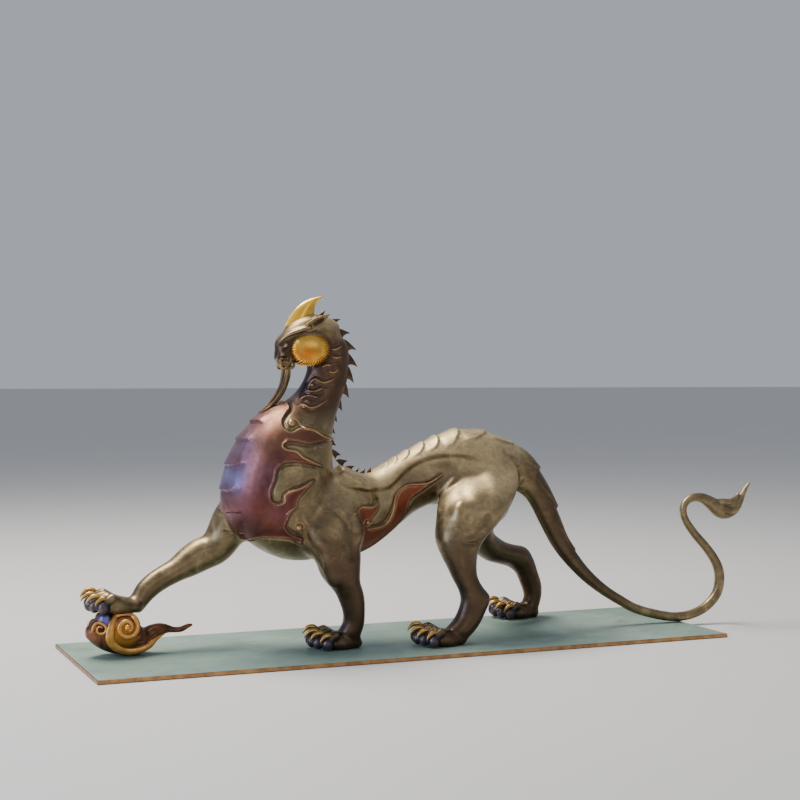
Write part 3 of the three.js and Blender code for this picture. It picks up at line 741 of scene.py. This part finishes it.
# painted shade, kept as dark: the face under the brow, a ring round the cheek disc, the lower legs with the
# far foreleg, the hollow under the back ridge, the downward-facing undersides and a band just over the plate;
# the tail is simply darker
face = rise(-x, 83, 88) * rise(z, 208, 212) * (1 - rise(z, 221, 226))
ring = bell(np.hypot((x + 72) / 14.4, (z - 218) / 12) - 1.06, 0.13) * rise(np.abs(y), 3, 6)
nearLeg = rise(-y, 14, 26) * (rise(-x, 26, 40) + rise(x, 8, 22))
farLeg = rise(y, 14, 26) * rise(x, 56, 70)
reaching = x < -92
legTop = np.where(reaching, 66, np.where(x < -30, 128, 112))
legs = (1 - rise(z, np.where(reaching, 16, 52), legTop)) * np.where(
    reaching, 0.75, np.maximum(nearLeg, farLeg))
tail = 0.85 * rise(x, 104, 118) * (1 - rise(x, 165, 205)) * rise(40 - y, 0, 20)
flank = (0.75 * bell(z - 117, 13) * rise(x, -12, 4) * (1 - rise(x, 50, 66))
         * rise(np.abs(clay.normal[:, 1]), 0.5, 0.8))
under = 0.35 * rise(-clay.normal[:, 2], 0.2, 0.95) * (1 - copper)
legs = np.maximum.reduce([legs, tail, flank, (1 - rise(z, 12, 24)) * (x < 155)])
# painted light: upward-facing surfaces of the back and rump are turned tan
top = rise(clay.normal[:, 2], -0.2, 0.5) * rise(z, 88, 116) * rise(x, -72, -52) * rise(110 - x, 0, 12)
keep(pixiu, "top", top * (1 - neckPart) * (1 - copper) * (1 - 0.7 * flank))
keep(pixiu, "dark", np.maximum.reduce([face, ring, legs, under]))
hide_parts("pixiu")
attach(pixiu, "root")

# claws

clawShape = {"radius": 1.7, "sides": 10}
bm = bmesh.new()
for paw in paws.values():
    for toe in toes:
        ahead, up = toe["ahead"], toe["rise"]
        place = toePlace(paw, toe)
        r = clawShape["radius"]
        rows = [(*place(ahead * 0.7, 0.98, 9.6 + up), r * 0.7, r * 0.7),
                (*place(ahead * 0.85, 1, 11 + up), r, r),
                (*place(ahead + 0.5, 1.04, 11 + up), r * 0.95, r),
                (*place(ahead + 3, 1.06, 9.4 + up), r * 0.7, r * 0.75),
                (*place(ahead + 4.6, 1.08, 7.6 + up), r * 0.4, r * 0.42),
                (*place(ahead + 5.2, 1.08, 6 + up), 0.1, 0.1)]
        addSkin(bm, limbRings(rows, 4), sides=clawShape["sides"])
claws = makeObject("claws", bm)

# head pieces

say("head")
hornRows = [
    (-59.5, 256.8, -58.8, 256.4, 0, 0.3), (-67.5, 255, -61.5, 254.3, 0, 1.2), (-74.5, 252, -64, 252, 0, 2.2),
    (-80.5, 247, -65.5, 248.5, 0, 3.1), (-85.5, 240.5, -66, 244.5, 0, 4), (-89.5, 234, -67, 238, 0, 4.6),
]
bm = bmesh.new()
addSkin(bm, outlineRings(hornRows, 5), sides=28,
        shape=lambda x, y, t: (x, y * (1 - abs(x)) ** 0.35 if abs(x) < 1 else 0))
horn = makeObject("horn", bm)

bm = bmesh.new()
for side in (near, far):
    rows = mirroredRows([(-77, 10.5, 231.2, 1.4, 2.5), (-73, 12.2, 234, 2, 3.6), (-69, 13.6, 236.8, 2, 3.7),
                         (-65, 14.6, 239.4, 1.4, 2.7), (-61.5, 15, 241.8, 0.6, 1.2),
                         (-59.5, 15.2, 243.2, 0.1, 0.2)], side)
    addSkin(bm, limbRings(rows, 4), sides=20,
            shape=lambda x, y, t: (
                x - side * 1.6 * math.exp(-2.6 * y * y) * (x * side > 0) * (0.15 < t < 0.95), y))
ears = makeObject("ears", bm)

cheekAt = {"middle": (-72, 218), "half": (14.2, 11.8), "y": 8.2, "bulge": 6.8}
fringe = {"strands": 44, "sweep": 7, "proud": 0.5, "past": 0.055}
bm = bmesh.new()
cx, cz = cheekAt["middle"]
hx, hz = cheekAt["half"]
for side in (near, far):
    matrix = (Matrix.Translation((cx, side * cheekAt["y"], cz))
              @ Matrix.Diagonal((hx, cheekAt["bulge"], hz, 1)))
    made = bmesh.ops.create_uvsphere(bm, u_segments=8 * fringe["strands"], v_segments=40, radius=1,
                                     matrix=matrix @ Matrix.Rotation(math.pi / 2, 4, "X"))
    for vert in made["verts"]:  # hair along the rear and lower rim, and a little in front
        u, v = (vert.co.x - cx) / hx, (vert.co.z - cz) / hz
        reach, angle = math.hypot(u, v), math.atan2(v, u)
        hairy = max(rise(math.cos(angle + 0.75), -0.75, 0.1),
                    0.5 * rise(-math.cos(angle), 0.75, 0.97)) * rise(reach, 0.4, 0.95)
        turns = fringe["strands"] / 2 * angle + fringe["sweep"] * reach + 0.6 * math.sin(7 * angle)
        strand = hairy * (2 * abs(math.sin(turns)) - 1)
        vert.co += Vector((fringe["past"] * u * hx, side * fringe["proud"], fringe["past"] * v * hz)) * strand
cheeks = makeObject("cheekTufts", bm)

beardStrand = [(-88.5, 2.5, 207), (-88, 4.4, 200), (-89, 4.8, 193), (-91.5, 4.4, 186.5), (-96.5, 3.8, 180),
               (-102, 3.2, 175.3), (-107.5, 2.8, 171.5)]
bm = bmesh.new()
for side in (near, far):
    for k, (dx, dy, dz, thick) in enumerate([
            (-1.1, 0.2, 0, 1.25), (1.1, -0.5, 0.5, 1.15), (0.1, 0.9, 0.7, 0.8)]):
        wide = [1, 1.1, 1, 0.95, 0.9, 0.7, 0.1]
        rows = [(x + dx * (1 - 0.3 * i / 6) + 0.5 * math.sin(i * 1.4 + k), side * (y + dy), z + dz,
                 thick * w, thick * w)
                for i, ((x, y, z), w) in enumerate(zip(beardStrand, wide))]
        addSkin(bm, limbRings(rows, 5), sides=10)
    for k, (cx, cz, r, thick, start) in enumerate([
            (-91.2, 209.5, 2.6, 1.5, 20), (-87.6, 210.5, 2.9, 1.4, 200),
            (-85.2, 206.8, 2.7, 1.2, 250), (-90.6, 205.6, 2.2, 1.3, 120)]):
        rows = []
        for i in range(9):
            a = math.radians(start + i * 42)
            shrink = 1 - 0.07 * i
            rows.append((cx + math.cos(a) * r * shrink, side * (3.4 + 0.28 * i * (k % 2 + 0.6)),
                         cz + math.sin(a) * r * shrink, thick * (1 - 0.085 * i), thick * (1 - 0.085 * i)))
        addSkin(bm, limbRings(rows, 3), sides=9)
addBall(bm, (-88.6, 0, 207.8), (5, 5.2, 4.8), 0, 4)
beard = makeObject("beard", bm)

# crest: teeth like small fins that lean down the nape

crestLine = [(-58, 240.5), (-49, 235), (-41, 225), (-37.5, 211), (-40, 198), (-46, 182), (-51.5, 166),
             (-52.5, 152), (-48.5, 141), (-40, 132.5), (-29, 128), (-15, 129.5)]
crestTips = [
    (-57.5, 246.6), (-45.6, 240.2), (-37.8, 230), (-32.8, 217.7), (-32, 205.2), (-35.1, 193.4),
    (-39.1, 182.4), (-44.6, 172.9), (-48.5, 164.9), (-50, 156.2), (-49.3, 147.4), (-45.4, 140.7),
    (-39.9, 136.2), (-34.4, 132.4), (-30.4, 130.8), (-25.7, 130.7), (-20.9, 131.4),
]
bm = bmesh.new()
rootLine = evenly(splineThrough([(x, 0, z) for x, z in crestLine], 8), 0.5)
lastRoot = (-66, 241.5)
for tx, tz in crestTips:
    gaps = np.hypot(rootLine[:, 0] - tx, rootLine[:, 2] - tz)
    spot = rootLine[gaps.argmin()]
    size = math.hypot(spot[0] - lastRoot[0], spot[2] - lastRoot[1])
    along = Vector((spot[0] - lastRoot[0], 0, spot[2] - lastRoot[1])).normalized()
    out = Vector((-along.z, 0, along.x))
    y = float(np.interp(tx, [-46, 28], [0, 5]))
    base = Vector((lastRoot[0], y, lastRoot[1]))
    rings = []
    lean = Vector((tx - spot[0], 0, tz - spot[2]))
    for t in np.linspace(0, 1, 10):
        # the tooth's two edges, as shares of its base
        front, back = t ** 1.7, 1 - 0.14 * math.sin(math.pi * t)
        centre = base + along * size * (front + back) / 2 - out * 3 * (1 - t) + lean * t
        rings.append((centre, along * (size * (back - front) / 2 + 0.15),
                      Vector((0, 2.1 * (1 - t) ** 0.6 + 0.12, 0))))
    addSkin(bm, rings, sides=14, shape=lambda x, y, t: (x, y * (1 - 0.45 * abs(x))))
    lastRoot = (spot[0], spot[2])
crest = makeObject("crest", bm)

# rims and curls of the flames, laid on the finished skin

say("flame rims")
fatter = 1.2
tree = BVHTree.FromObject(pixiu, bpy.context.evaluated_depsgraph_get())
rimLines = [  # drawn line, thickness
    ([(-78, 166), (-76.5, 168), (-73.5, 168.2), (-71, 166.5), (-68, 162.8), (-64, 161), (-59, 160),
      (-52, 155), (-47, 154)], 0.85),
    ([(-77, 153.5), (-80.5, 151.5), (-80.5, 148.8), (-77, 146.5), (-71, 145.6), (-67, 141.8),
      (-63, 139.6), (-54, 135)], 0.8),
    ([(-84, 108.7), (-79.5, 109.6), (-78, 112.5), (-78.6, 115.5), (-74, 118.3), (-67, 120.3),
      (-60, 125)], 0.8),
    ([(-22, 88), (-10, 90), (-4, 99), (-1, 112), (7, 118), (16, 118.4), (24, 119.6), (34, 126)], 0.9),
    ([(-31, 100), (-28, 102), (-26, 104.5), (-17, 104), (-14.5, 110)], 0.8),
    ([(-78, 101.5), (-76, 104), (-72, 107)], 0.5),
    ([(-72.5, 94.6), (-70.5, 96.4), (-67.5, 95.8), (-65.8, 93), (-66.6, 90)], 0.7),
    ([(-25, 92), (-24, 95.4), (-21, 96), (-19.2, 93.8), (-20.5, 91.4)], 0.6),
]
curlBalls = [((-75, 165), 3.1), ((-69.5, 92.2), 2.2), ((-22, 93.4), 1.9), ((-67.3, 176.4), 1.5),
             ((-62, 192), 1.3)]
bm = bmesh.new()
for points, thick in rimLines + neckLocks:
    for side in (near, far):
        line = layOn(points, side, step=1.1)
        if len(line) < 4:
            continue
        for _ in range(2):
            line[1:-1] = (line[:-2] + 2 * line[1:-1] + line[2:]) / 4
        rows = []
        for i, spot in enumerate(line):
            swell = 0.25 + 0.75 * math.sin(math.pi * (i + 0.6) / (len(line) + 0.2)) ** 0.6
            rows.append((*spot, fatter * thick * swell, fatter * thick * swell))
        addSkin(bm, limbRings(rows, 1), sides=8)
for (across, height), radius in curlBalls:
    for side in (near, far):
        spots = layOn([(across - 0.5, height), (across, height), (across + 0.5, height)], side, step=0.5)
        if len(spots):
            addBall(bm, tuple(spots[len(spots) // 2]), (radius, radius, radius), 0, 3)
rims = makeObject("flameRims", bm)

# cloud

say("cloud")
cloud = {
    "y": 10,
    "outline": [
        (-230.5, 17, -230.5, 23.5, 4), (-225, 11.5, -225.5, 28, 9), (-219, 7.6, -220, 33, 11.5),
        (-211.5, 4.7, -212.5, 32, 13), (-203, 3.1, -204, 32, 13), (-193, 3.1, -195.5, 27.5, 12),
        (-186, 7, -190.5, 21.7, 9.5), (-181.5, 12.3, -185.5, 23, 7.5), (-176.5, 15.5, -179.5, 24, 6),
        (-171.5, 16.7, -174, 23.2, 4.5), (-167, 16.5, -168, 20.7, 3), (-162, 16.8, -163, 20.9, 2.5),
        (-158, 18.8, -158.6, 22.4, 2), (-154, 20.8, -154.7, 22.4, 0.8),
    ],
}
bm = bmesh.new()
addSkin(bm, outlineRings([(*row[:4], cloud["y"], row[4]) for row in cloud["outline"]]), sides=32)
for side in (near, far):
    y = cloud["y"] + side * 7
    addBall(bm, (-205, y, 22), (11, 7.5, 10.5), 0, 4)
    addBall(bm, (-222.5, cloud["y"] + side * 3, 23.5), (6, 7, 5.6), 0, 3)
    addBall(bm, (-218.5, cloud["y"] + side * 5.5, 29.6), (4.6, 4, 4.2), 0, 3)
cloudBody = makeObject("cloudForm", bm)
fuse(cloudBody, 0.6)
clay = Clay(cloudBody)
clay.smooth(6)
cloudTree = BVHTree.FromObject(cloudBody, bpy.context.evaluated_depsgraph_get())


def onCloud(x, z, side):
    hit = cloudTree.ray_cast(Vector((x, cloud["y"] + side * 60, z)) * mm, Vector((0, -side, 0)))[0]
    return hit.y / mm if hit else None


scroll = {"x": -204.5, "z": 24.2, "radius": 9.2, "turns": 1.6}
bandRows = [(-176, 17), (-183, 13.6), (-188, 10), (-195, 7.6), (-203, 7.2),
            (-209.5, 9.4), (-214.5, 13.4), (-216.3, 18.5), (-215, 24.5)]
for k in range(0, 17):
    a = math.radians(140 - k * 36)
    r = scroll["radius"] * (1 - 0.047 * k)
    bandRows.append((scroll["x"] + math.cos(a) * r, scroll["z"] + math.sin(a) * r))
for side in (near, far):
    flatAt = np.stack([clay.at[:, 0], clay.at[:, 2]], axis=1)
    onSide = rise(side * (clay.at[:, 1] - cloud["y"]), 0, 2)
    gap, turned, share = toLine(flatAt, evenly(splineThrough(bandRows, 4), 1.0))
    clay.lift -= onSide * 1.3 * bell(gap - 3.1, 1.1) * rise(flatAt[:, 0], -200, -195) * 0.6
    for line in ([(-160, 21), (-168, 20.2), (-176, 21), (-184, 17.4), (-190, 14.4), (-196, 13.6)],
                 [(-170, 21.6), (-177, 22.4), (-184, 19.6), (-190, 16.8)],
                 [(-176, 18.6), (-183, 15.6), (-190, 11.8)]):
        gap, turned, share = toLine(flatAt, evenly(splineThrough(line, 4), 1.0))
        clay.lift -= onSide * 0.7 * bell(gap, 0.8)
clay.press()
clay.at[:, 2] = np.maximum(clay.at[:, 2], 3.1)
clay.write()
thinOut(cloudBody, 60000)
clay = Clay(cloudBody)
keep(cloudBody, "recess", np.clip(recessOf(clay, 2) / 0.25, 0, 1))
keep(cloudBody, "ridge", np.clip(-recessOf(clay, 2) / 0.25, 0, 1))
# painted blue reflection on the upper part of the cloud's left lobe
keep(cloudBody, "blue", bell(np.linalg.norm((clay.at - (-219, 2, 30)) / (7, 9, 6), axis=1), 1))
gold = bell(np.hypot(clay.at[:, 0] + 206, clay.at[:, 2] - 20), 12)
keep(cloudBody, "gold", gold)
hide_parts("cloud")

bm = bmesh.new()
line = evenly(splineThrough(bandRows, 4), 1.2)
for side in (near, far):
    rows = []
    for i, (x, z) in enumerate(line):
        share = i / (len(line) - 1)
        y = onCloud(x, z, side)
        if y is None:
            continue
        wide = float(np.interp(share, [0, 0.1, 0.4, 0.6, 1], [0.5, 2.2, 3.2, 2.4, 1.5]))
        rows.append((x, y + side * 0.2, z, 1.5 * min(1, wide), wide))
    ys = np.array([r[1] for r in rows])
    for _ in range(6):
        ys[1:-1] = (ys[:-2] + 2 * ys[1:-1] + ys[2:]) / 4
    rows = [(x, float(y), z, a, b) for (x, _, z, a, b), y in zip(rows, ys)]
    addSkin(bm, limbRings(rows, 1), sides=14)
    addBall(bm, (scroll["x"], rows[-1][1], scroll["z"]), (2.2, 2, 2.4), 0, 3)
    small = []
    for k in range(14):
        a = math.radians(200 - k * 40)
        r = 5.0 * (1 - 0.055 * k)
        x, z = -222.3 + math.cos(a) * r, 23.6 + math.sin(a) * r
        y = onCloud(x, z, side)
        if y is not None:
            small.append((x, y + side * 0.3, z, 1.1, 1.3 - 0.05 * k))
    addSkin(bm, limbRings(small, 2), sides=10)
scrolls = makeObject("cloudScrolls", bm)


# finishes

def tone(red, green, blue):
    # a colour as a paint chart gives it, from 0 to 255
    return tuple((c / 255 / 12.92 if c <= 10 else ((c / 255 + 0.055) / 1.055) ** 2.4)
                 for c in (red, green, blue)) + (1,)


class Amount:
    # a number over the surface, for sums in plain Python
    def __init__(self, finish, socket):
        self.finish, self.socket = finish, socket

    def sum(self, operation, first, second):
        values = [x.socket if isinstance(x, Amount) else x for x in (first, second)]
        node = self.finish.add("ShaderNodeMath", {"operation": operation}, {0: values[0], 1: values[1]})
        return Amount(self.finish, node.outputs[0])

    def __add__(self, other):
        return self.sum("ADD", self, other)

    def __sub__(self, other):
        return self.sum("SUBTRACT", self, other)

    def __mul__(self, other):
        return self.sum("MULTIPLY", self, other)

    def __rsub__(self, other):
        return self.sum("SUBTRACT", other, self)

    __radd__, __rmul__ = __add__, __mul__

    def most(self, other):
        return self.sum("MAXIMUM", self, other)

    def between(self, low, high):
        # 0 below low, 1 above high
        node = self.finish.add("ShaderNodeMapRange", {"interpolation_type": "SMOOTHSTEP"},
                               {"Value": self.socket, "From Min": low, "From Max": high})
        return Amount(self.finish, node.outputs[0])


class Finish:
    def __init__(self, name):
        self.material = bpy.data.materials.new(name)
        self.material.use_nodes = True
        self.tree = self.material.node_tree
        self.tree.nodes.clear()
        self.shader = self.add("ShaderNodeBsdfPrincipled")
        self.add("ShaderNodeOutputMaterial", {}, {"Surface": self.shader.outputs[0]})
        self.place = self.add("ShaderNodeTexCoord").outputs["Object"]

    def add(self, kind, settings=None, values=None):
        node = self.tree.nodes.new(kind)
        for name, value in (settings or {}).items():
            if name == "stops":
                for at, colour in value[len(node.color_ramp.elements):]:
                    node.color_ramp.elements.new(at)
                for element, (at, colour) in zip(node.color_ramp.elements, value):
                    element.position, element.color = at, colour
            else:
                setattr(node, name, value)
        for name, value in (values or {}).items():
            socket = node.inputs[name]
            if isinstance(value, Amount):
                value = value.socket
            if isinstance(value, bpy.types.NodeSocket):
                self.tree.links.new(value, socket)
            else:
                socket.default_value = value
        return node

    def noise(self, scale, detail=3, roughness=0.55, twist=0.0, place=None):
        node = self.add("ShaderNodeTexNoise", {}, {
            "Vector": place or self.place, "Scale": scale, "Detail": detail,
            "Roughness": roughness, "Distortion": twist})
        return Amount(self, node.outputs[0])

    def kept(self, name):
        return Amount(self, self.add("ShaderNodeAttribute", {"attribute_name": name}).outputs["Fac"])

    def mix(self, first, second, amount):
        node = self.add("ShaderNodeMix", {"data_type": "RGBA", "clamp_factor": True},
                        {0: amount, 6: first, 7: second})
        return node.outputs[2]

    def bump(self, amount, strength, distance):
        return self.add("ShaderNodeBump", {}, {
            "Height": amount, "Strength": strength, "Distance": distance}).outputs[0]

    def set(self, **values):
        for name, value in values.items():
            socket = self.shader.inputs[name.replace("_", " ")]
            if isinstance(value, Amount):
                value = value.socket
            if isinstance(value, bpy.types.NodeSocket):
                self.tree.links.new(value, socket)
            else:
                socket.default_value = value


bronzeTones = {
    "deep": tone(86, 71, 52), "olive": tone(142, 123, 90), "tan": tone(200, 177, 134),
    "darkPatinaAndShade": tone(36, 26, 22),
    "bright": tone(230, 212, 170), "copper": tone(114, 61, 50), "copperDark": tone(72, 38, 36),
    "brown": tone(118, 84, 64), "copperPale": tone(190, 136, 110), "lilac": tone(128, 86, 100),
    "sky": tone(142, 150, 206), "navy": tone(54, 50, 74), "neck": tone(86, 61, 48), "dark": tone(70, 51, 40),
    "glow": tone(214, 112, 22), "rust": tone(150, 82, 50),
}


def bronzeFinish(name):
    c = bronzeTones
    f = Finish(name)
    cloudy = f.noise(60, 4, 0.6, 0.4).between(0.3, 0.7)
    blotch = f.noise(150, 4, 0.62, 0.3).between(0.34, 0.68)
    grain = f.noise(420, 3, 0.6)
    height = Amount(f, f.add("ShaderNodeSeparateXYZ", {}, {0: f.place}).outputs[2]).between(0.12, 0.17)
    colour = f.mix(c["deep"], c["olive"], 0.35 + cloudy * 0.35 + blotch * 0.3)
    colour = f.mix(colour, c["tan"], f.noise(120, 5, 0.7, 0.6).between(0.48, 0.7) * 0.4)
    fine = f.noise(260, 4, 0.7, 0.4)
    # painted light on the upward-facing surfaces
    colour = f.mix(colour, c["tan"], f.kept("top") * (0.42 + 0.48 * fine.between(0.35, 0.7)))
    colour = f.mix(colour, c["deep"], fine.between(0.54, 0.74) * 0.35)
    colour = f.mix(colour, c["neck"], f.kept("neck") * 0.88)
    # painted shade from the dark mask
    colour = f.mix(colour, c["dark"], f.kept("dark") * 0.82)
    red = f.mix(c["copperDark"], c["copper"], cloudy * 0.6 + blotch * 0.4)
    red = f.mix(red, c["brown"], height * 0.75)
    red = f.mix(red, c["rust"], f.kept("rust") * 0.7)
    # purple-brown patina with a painted lilac sheen
    red = f.mix(red, c["lilac"], f.kept("lilac") * (0.4 + 0.3 * cloudy))
    # painted blue reflection on the breast plates
    red = f.mix(red, c["sky"], f.kept("sky") * (0.35 + 0.4 * cloudy))
    red = f.mix(red, c["copperPale"], f.kept("ridge") * 0.4)
    colour = f.mix(colour, red, f.kept("copper"))
    # navy on the toes' balls, painted shade in the throat and a painted blue reflection on the shins
    colour = f.mix(colour, c["navy"], f.kept("blue") * 0.8)
    worn = f.kept("ridge").between(0.15, 0.8) * (1 - f.kept("copper") * 0.5)
    colour = f.mix(colour, c["bright"], worn * 0.6)
    grime = (f.kept("recess").between(0.2, 0.85) * 0.75).most(f.kept("gutter") * 0.5)
    colour = f.mix(colour, c["darkPatinaAndShade"], grime)
    f.set(Base_Color=colour, Metallic=0.86,
          Roughness=0.28 + 0.12 * blotch + 0.1 * grain + 0.2 * grime + 0.1 * f.kept("top"),
          Normal=f.bump(grain * 0.4 + f.noise(150, 3, 0.6) * 0.8, 0.18, 0.0005))
    return f.material


def metalFinish(name, shade, main, light, rough=0.3):
    f = Finish(name)
    streak = f.noise(90, 4, 0.6, 0.8).between(0.35, 0.65)
    colour = f.mix(tone(*shade), tone(*main), 0.35 + 0.65 * streak)
    colour = f.mix(colour, bronzeTones["glow"], f.kept("warm") * 0.85)
    colour = f.mix(colour, bronzeTones["dark"], f.kept("dark") * 0.75)
    colour = f.mix(colour, tone(*light), f.kept("ridge").between(0.3, 0.9) * 0.5)
    # dark patina in the recesses, and painted shade in the ear's hollow
    colour = f.mix(colour, bronzeTones["darkPatinaAndShade"], f.kept("recess").between(0.15, 0.7) * 0.8)
    f.set(Base_Color=colour, Metallic=0.88, Roughness=rough + 0.15 * f.noise(120, 3),
          Normal=f.bump(f.noise(240, 3, 0.6), 0.2, 0.0005))
    return f.material


def cloudFinish():
    f = Finish("brownCloud")
    colour = f.mix(tone(66, 40, 30), tone(130, 84, 58), f.noise(60, 4, 0.6, 0.4).between(0.38, 0.64))
    colour = f.mix(colour, tone(186, 122, 44), f.kept("gold").between(0.35, 0.8) * 0.8)
    # painted blue reflection on the left lobe
    colour = f.mix(colour, tone(120, 122, 190), f.kept("blue").between(0.3, 0.8) * 0.8)
    colour = f.mix(colour, tone(24, 16, 14), f.kept("recess").between(0.1, 0.6) * 0.85)
    colour = f.mix(colour, tone(214, 160, 110), f.kept("ridge").between(0.2, 0.8) * 0.35)
    f.set(Base_Color=colour, Metallic=0.82, Roughness=0.34 + 0.14 * f.noise(120, 3),
          Normal=f.bump(f.noise(300, 3, 0.6), 0.2, 0.0005))
    return f.material


def plateFinish():
    f = Finish("verdigris")
    broad = f.noise(9, 5, 0.62, 0.6).between(0.34, 0.66)
    fine = f.noise(60, 5, 0.66, 0.3).between(0.36, 0.66)
    green = f.mix(tone(104, 128, 122), tone(140, 160, 150), broad)
    green = f.mix(green, tone(120, 140, 120), fine * 0.6)
    green = f.mix(green, tone(96, 104, 84), f.noise(28, 6, 0.7, 1.0).between(0.56, 0.74) * 0.5)
    facing = Amount(f, f.add("ShaderNodeSeparateXYZ", {}, {
        0: f.add("ShaderNodeNewGeometry").outputs["Normal"]}).outputs[2])
    top = facing.between(0.75, 0.95)
    brass = f.mix(tone(138, 100, 66), tone(178, 136, 90), f.noise(120, 4, 0.6).between(0.3, 0.66))
    colour = f.mix(brass, green, top)
    f.set(Base_Color=colour, Metallic=0.85 - 0.6 * top, Roughness=0.34 + 0.2 * top + 0.06 * fine,
          Normal=f.bump(f.noise(220, 4, 0.6), 0.15, 0.0004))
    return f.material


say("finishes")
for piece in (horn, ears, cheeks, beard, crest, claws, rims):
    clay = Clay(piece)
    bend = recessOf(clay, 1)
    hollow = 0
    # painted shade: a dark stripe along the ear's hollow, added to its recess
    if piece is ears:
        gap = toLine(clay.at[:, [0, 2]], np.array([(-75, 232.4), (-70, 235.6), (-65, 238.8)]))[0]
        hollow = bell(gap, 1.7) * rise(np.abs(clay.at[:, 1]), 11, 13)
    keep(piece, "recess", bend / 0.5 + hollow)
    keep(piece, "ridge", -bend / 0.8)
    if piece is cheeks:
        keep(piece, "warm", bell(np.hypot((clay.at[:, 0] + 76) / 10, (clay.at[:, 2] - 214.5) / 6), 1))
    if piece is beard:
        keep(piece, "dark", 1 - rise(clay.at[:, 2], 197, 204))
rubbed = metalFinish("rubbedBronze", (100, 80, 54), (160, 134, 92), (230, 210, 168), 0.34)
for piece, material, slot in [
        (pixiu, bronzeFinish("patinatedBronze"), None), (beard, rubbed, "patinated_bronze"),
        (ears, rubbed, "patinated_bronze"),
        (horn, metalFinish("hornGilding", (238, 178, 62), (255, 210, 82), (255, 240, 150), 0.26),
         "patinated_bronze"),
        (cheeks, metalFinish("cheekGilding", (200, 146, 52), (236, 192, 86), (250, 226, 142), 0.24),
         "patinated_bronze"),
        (claws, metalFinish("clawGilding", (150, 110, 58), (206, 168, 96), (236, 210, 150)),
         "patinated_bronze"),
        (crest, metalFinish("darkCrest", (58, 44, 36), (96, 76, 56), (206, 186, 146), 0.32),
         "patinated_bronze"),
        (rims, metalFinish("rubbedRims", (136, 104, 74), (182, 146, 106), (228, 200, 160), 0.28),
         "patinated_bronze"),
        (cloudBody, cloudFinish(), "gilded_bronze"),
        (scrolls, metalFinish("scrollGilding", (180, 118, 60), (226, 166, 90), (244, 212, 140), 0.28),
         "gilded_bronze")]:
    piece.data.materials.clear()
    piece.data.materials.append(material)
    if slot:
        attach(piece, "root")
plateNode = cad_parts["base_plate"]
plateNode.data.materials.clear()
plateNode.data.materials.append(plateFinish())

# floor, light and camera

say("stage")
bm = bmesh.new()
bmesh.ops.create_grid(bm, x_segments=2, y_segments=2, size=30000)
floor = makeObject("floor", bm)
paint = Finish("paleFloor")
paint.set(Base_Color=paint.mix((0.56, 0.55, 0.54, 1), (0.6, 0.59, 0.58, 1), paint.noise(3, 2)), Roughness=0.7)
floor.data.materials.append(paint.material)

world = bpy.data.worlds.new("studio")
bpy.context.scene.world = world
world.use_nodes = True
world.node_tree.nodes["Background"].inputs["Color"].default_value = (0.78, 0.83, 0.93, 1)
world.node_tree.nodes["Background"].inputs["Strength"].default_value = 0.52


def addLight(name, at, aim, size, power, colour):
    lamp = bpy.data.lights.new(name, "AREA")
    lamp.shape = "RECTANGLE"
    lamp.size, lamp.size_y = size
    lamp.energy = power
    lamp.color = colour
    holder = bpy.data.objects.new(name, lamp)
    holder.location = at
    holder.rotation_euler = (Vector(aim) - Vector(at)).to_track_quat("-Z", "Y").to_euler()
    bpy.context.scene.collection.objects.link(holder)


addLight("overhead", (-0.3, 0.35, 1.2), (0, 0, 0.1), (0.8, 0.45), 27, (1, 0.94, 0.84))
addLight("windowLeft", (-1.4, -0.3, 0.6), (0, 0, 0.12), (0.5, 1.0), 12, (0.62, 0.76, 1))
addLight("frontFill", (0.3, -1.8, 0.9), (0, 0, 0.12), (1.2, 0.7), 3.5, (1, 0.95, 0.88))

camera = bpy.data.cameras.new("camera")
camera.lens = 69.84
camera.sensor_width = 36
holder = bpy.data.objects.new("camera", camera)
holder.location = (-0.44303, -1.06559, 0.19656)
holder.rotation_euler = (math.radians(90 - 0.784), 0, math.radians(-22.644))
bpy.context.scene.collection.objects.link(holder)
bpy.context.scene.camera = holder

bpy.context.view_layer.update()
say("done")
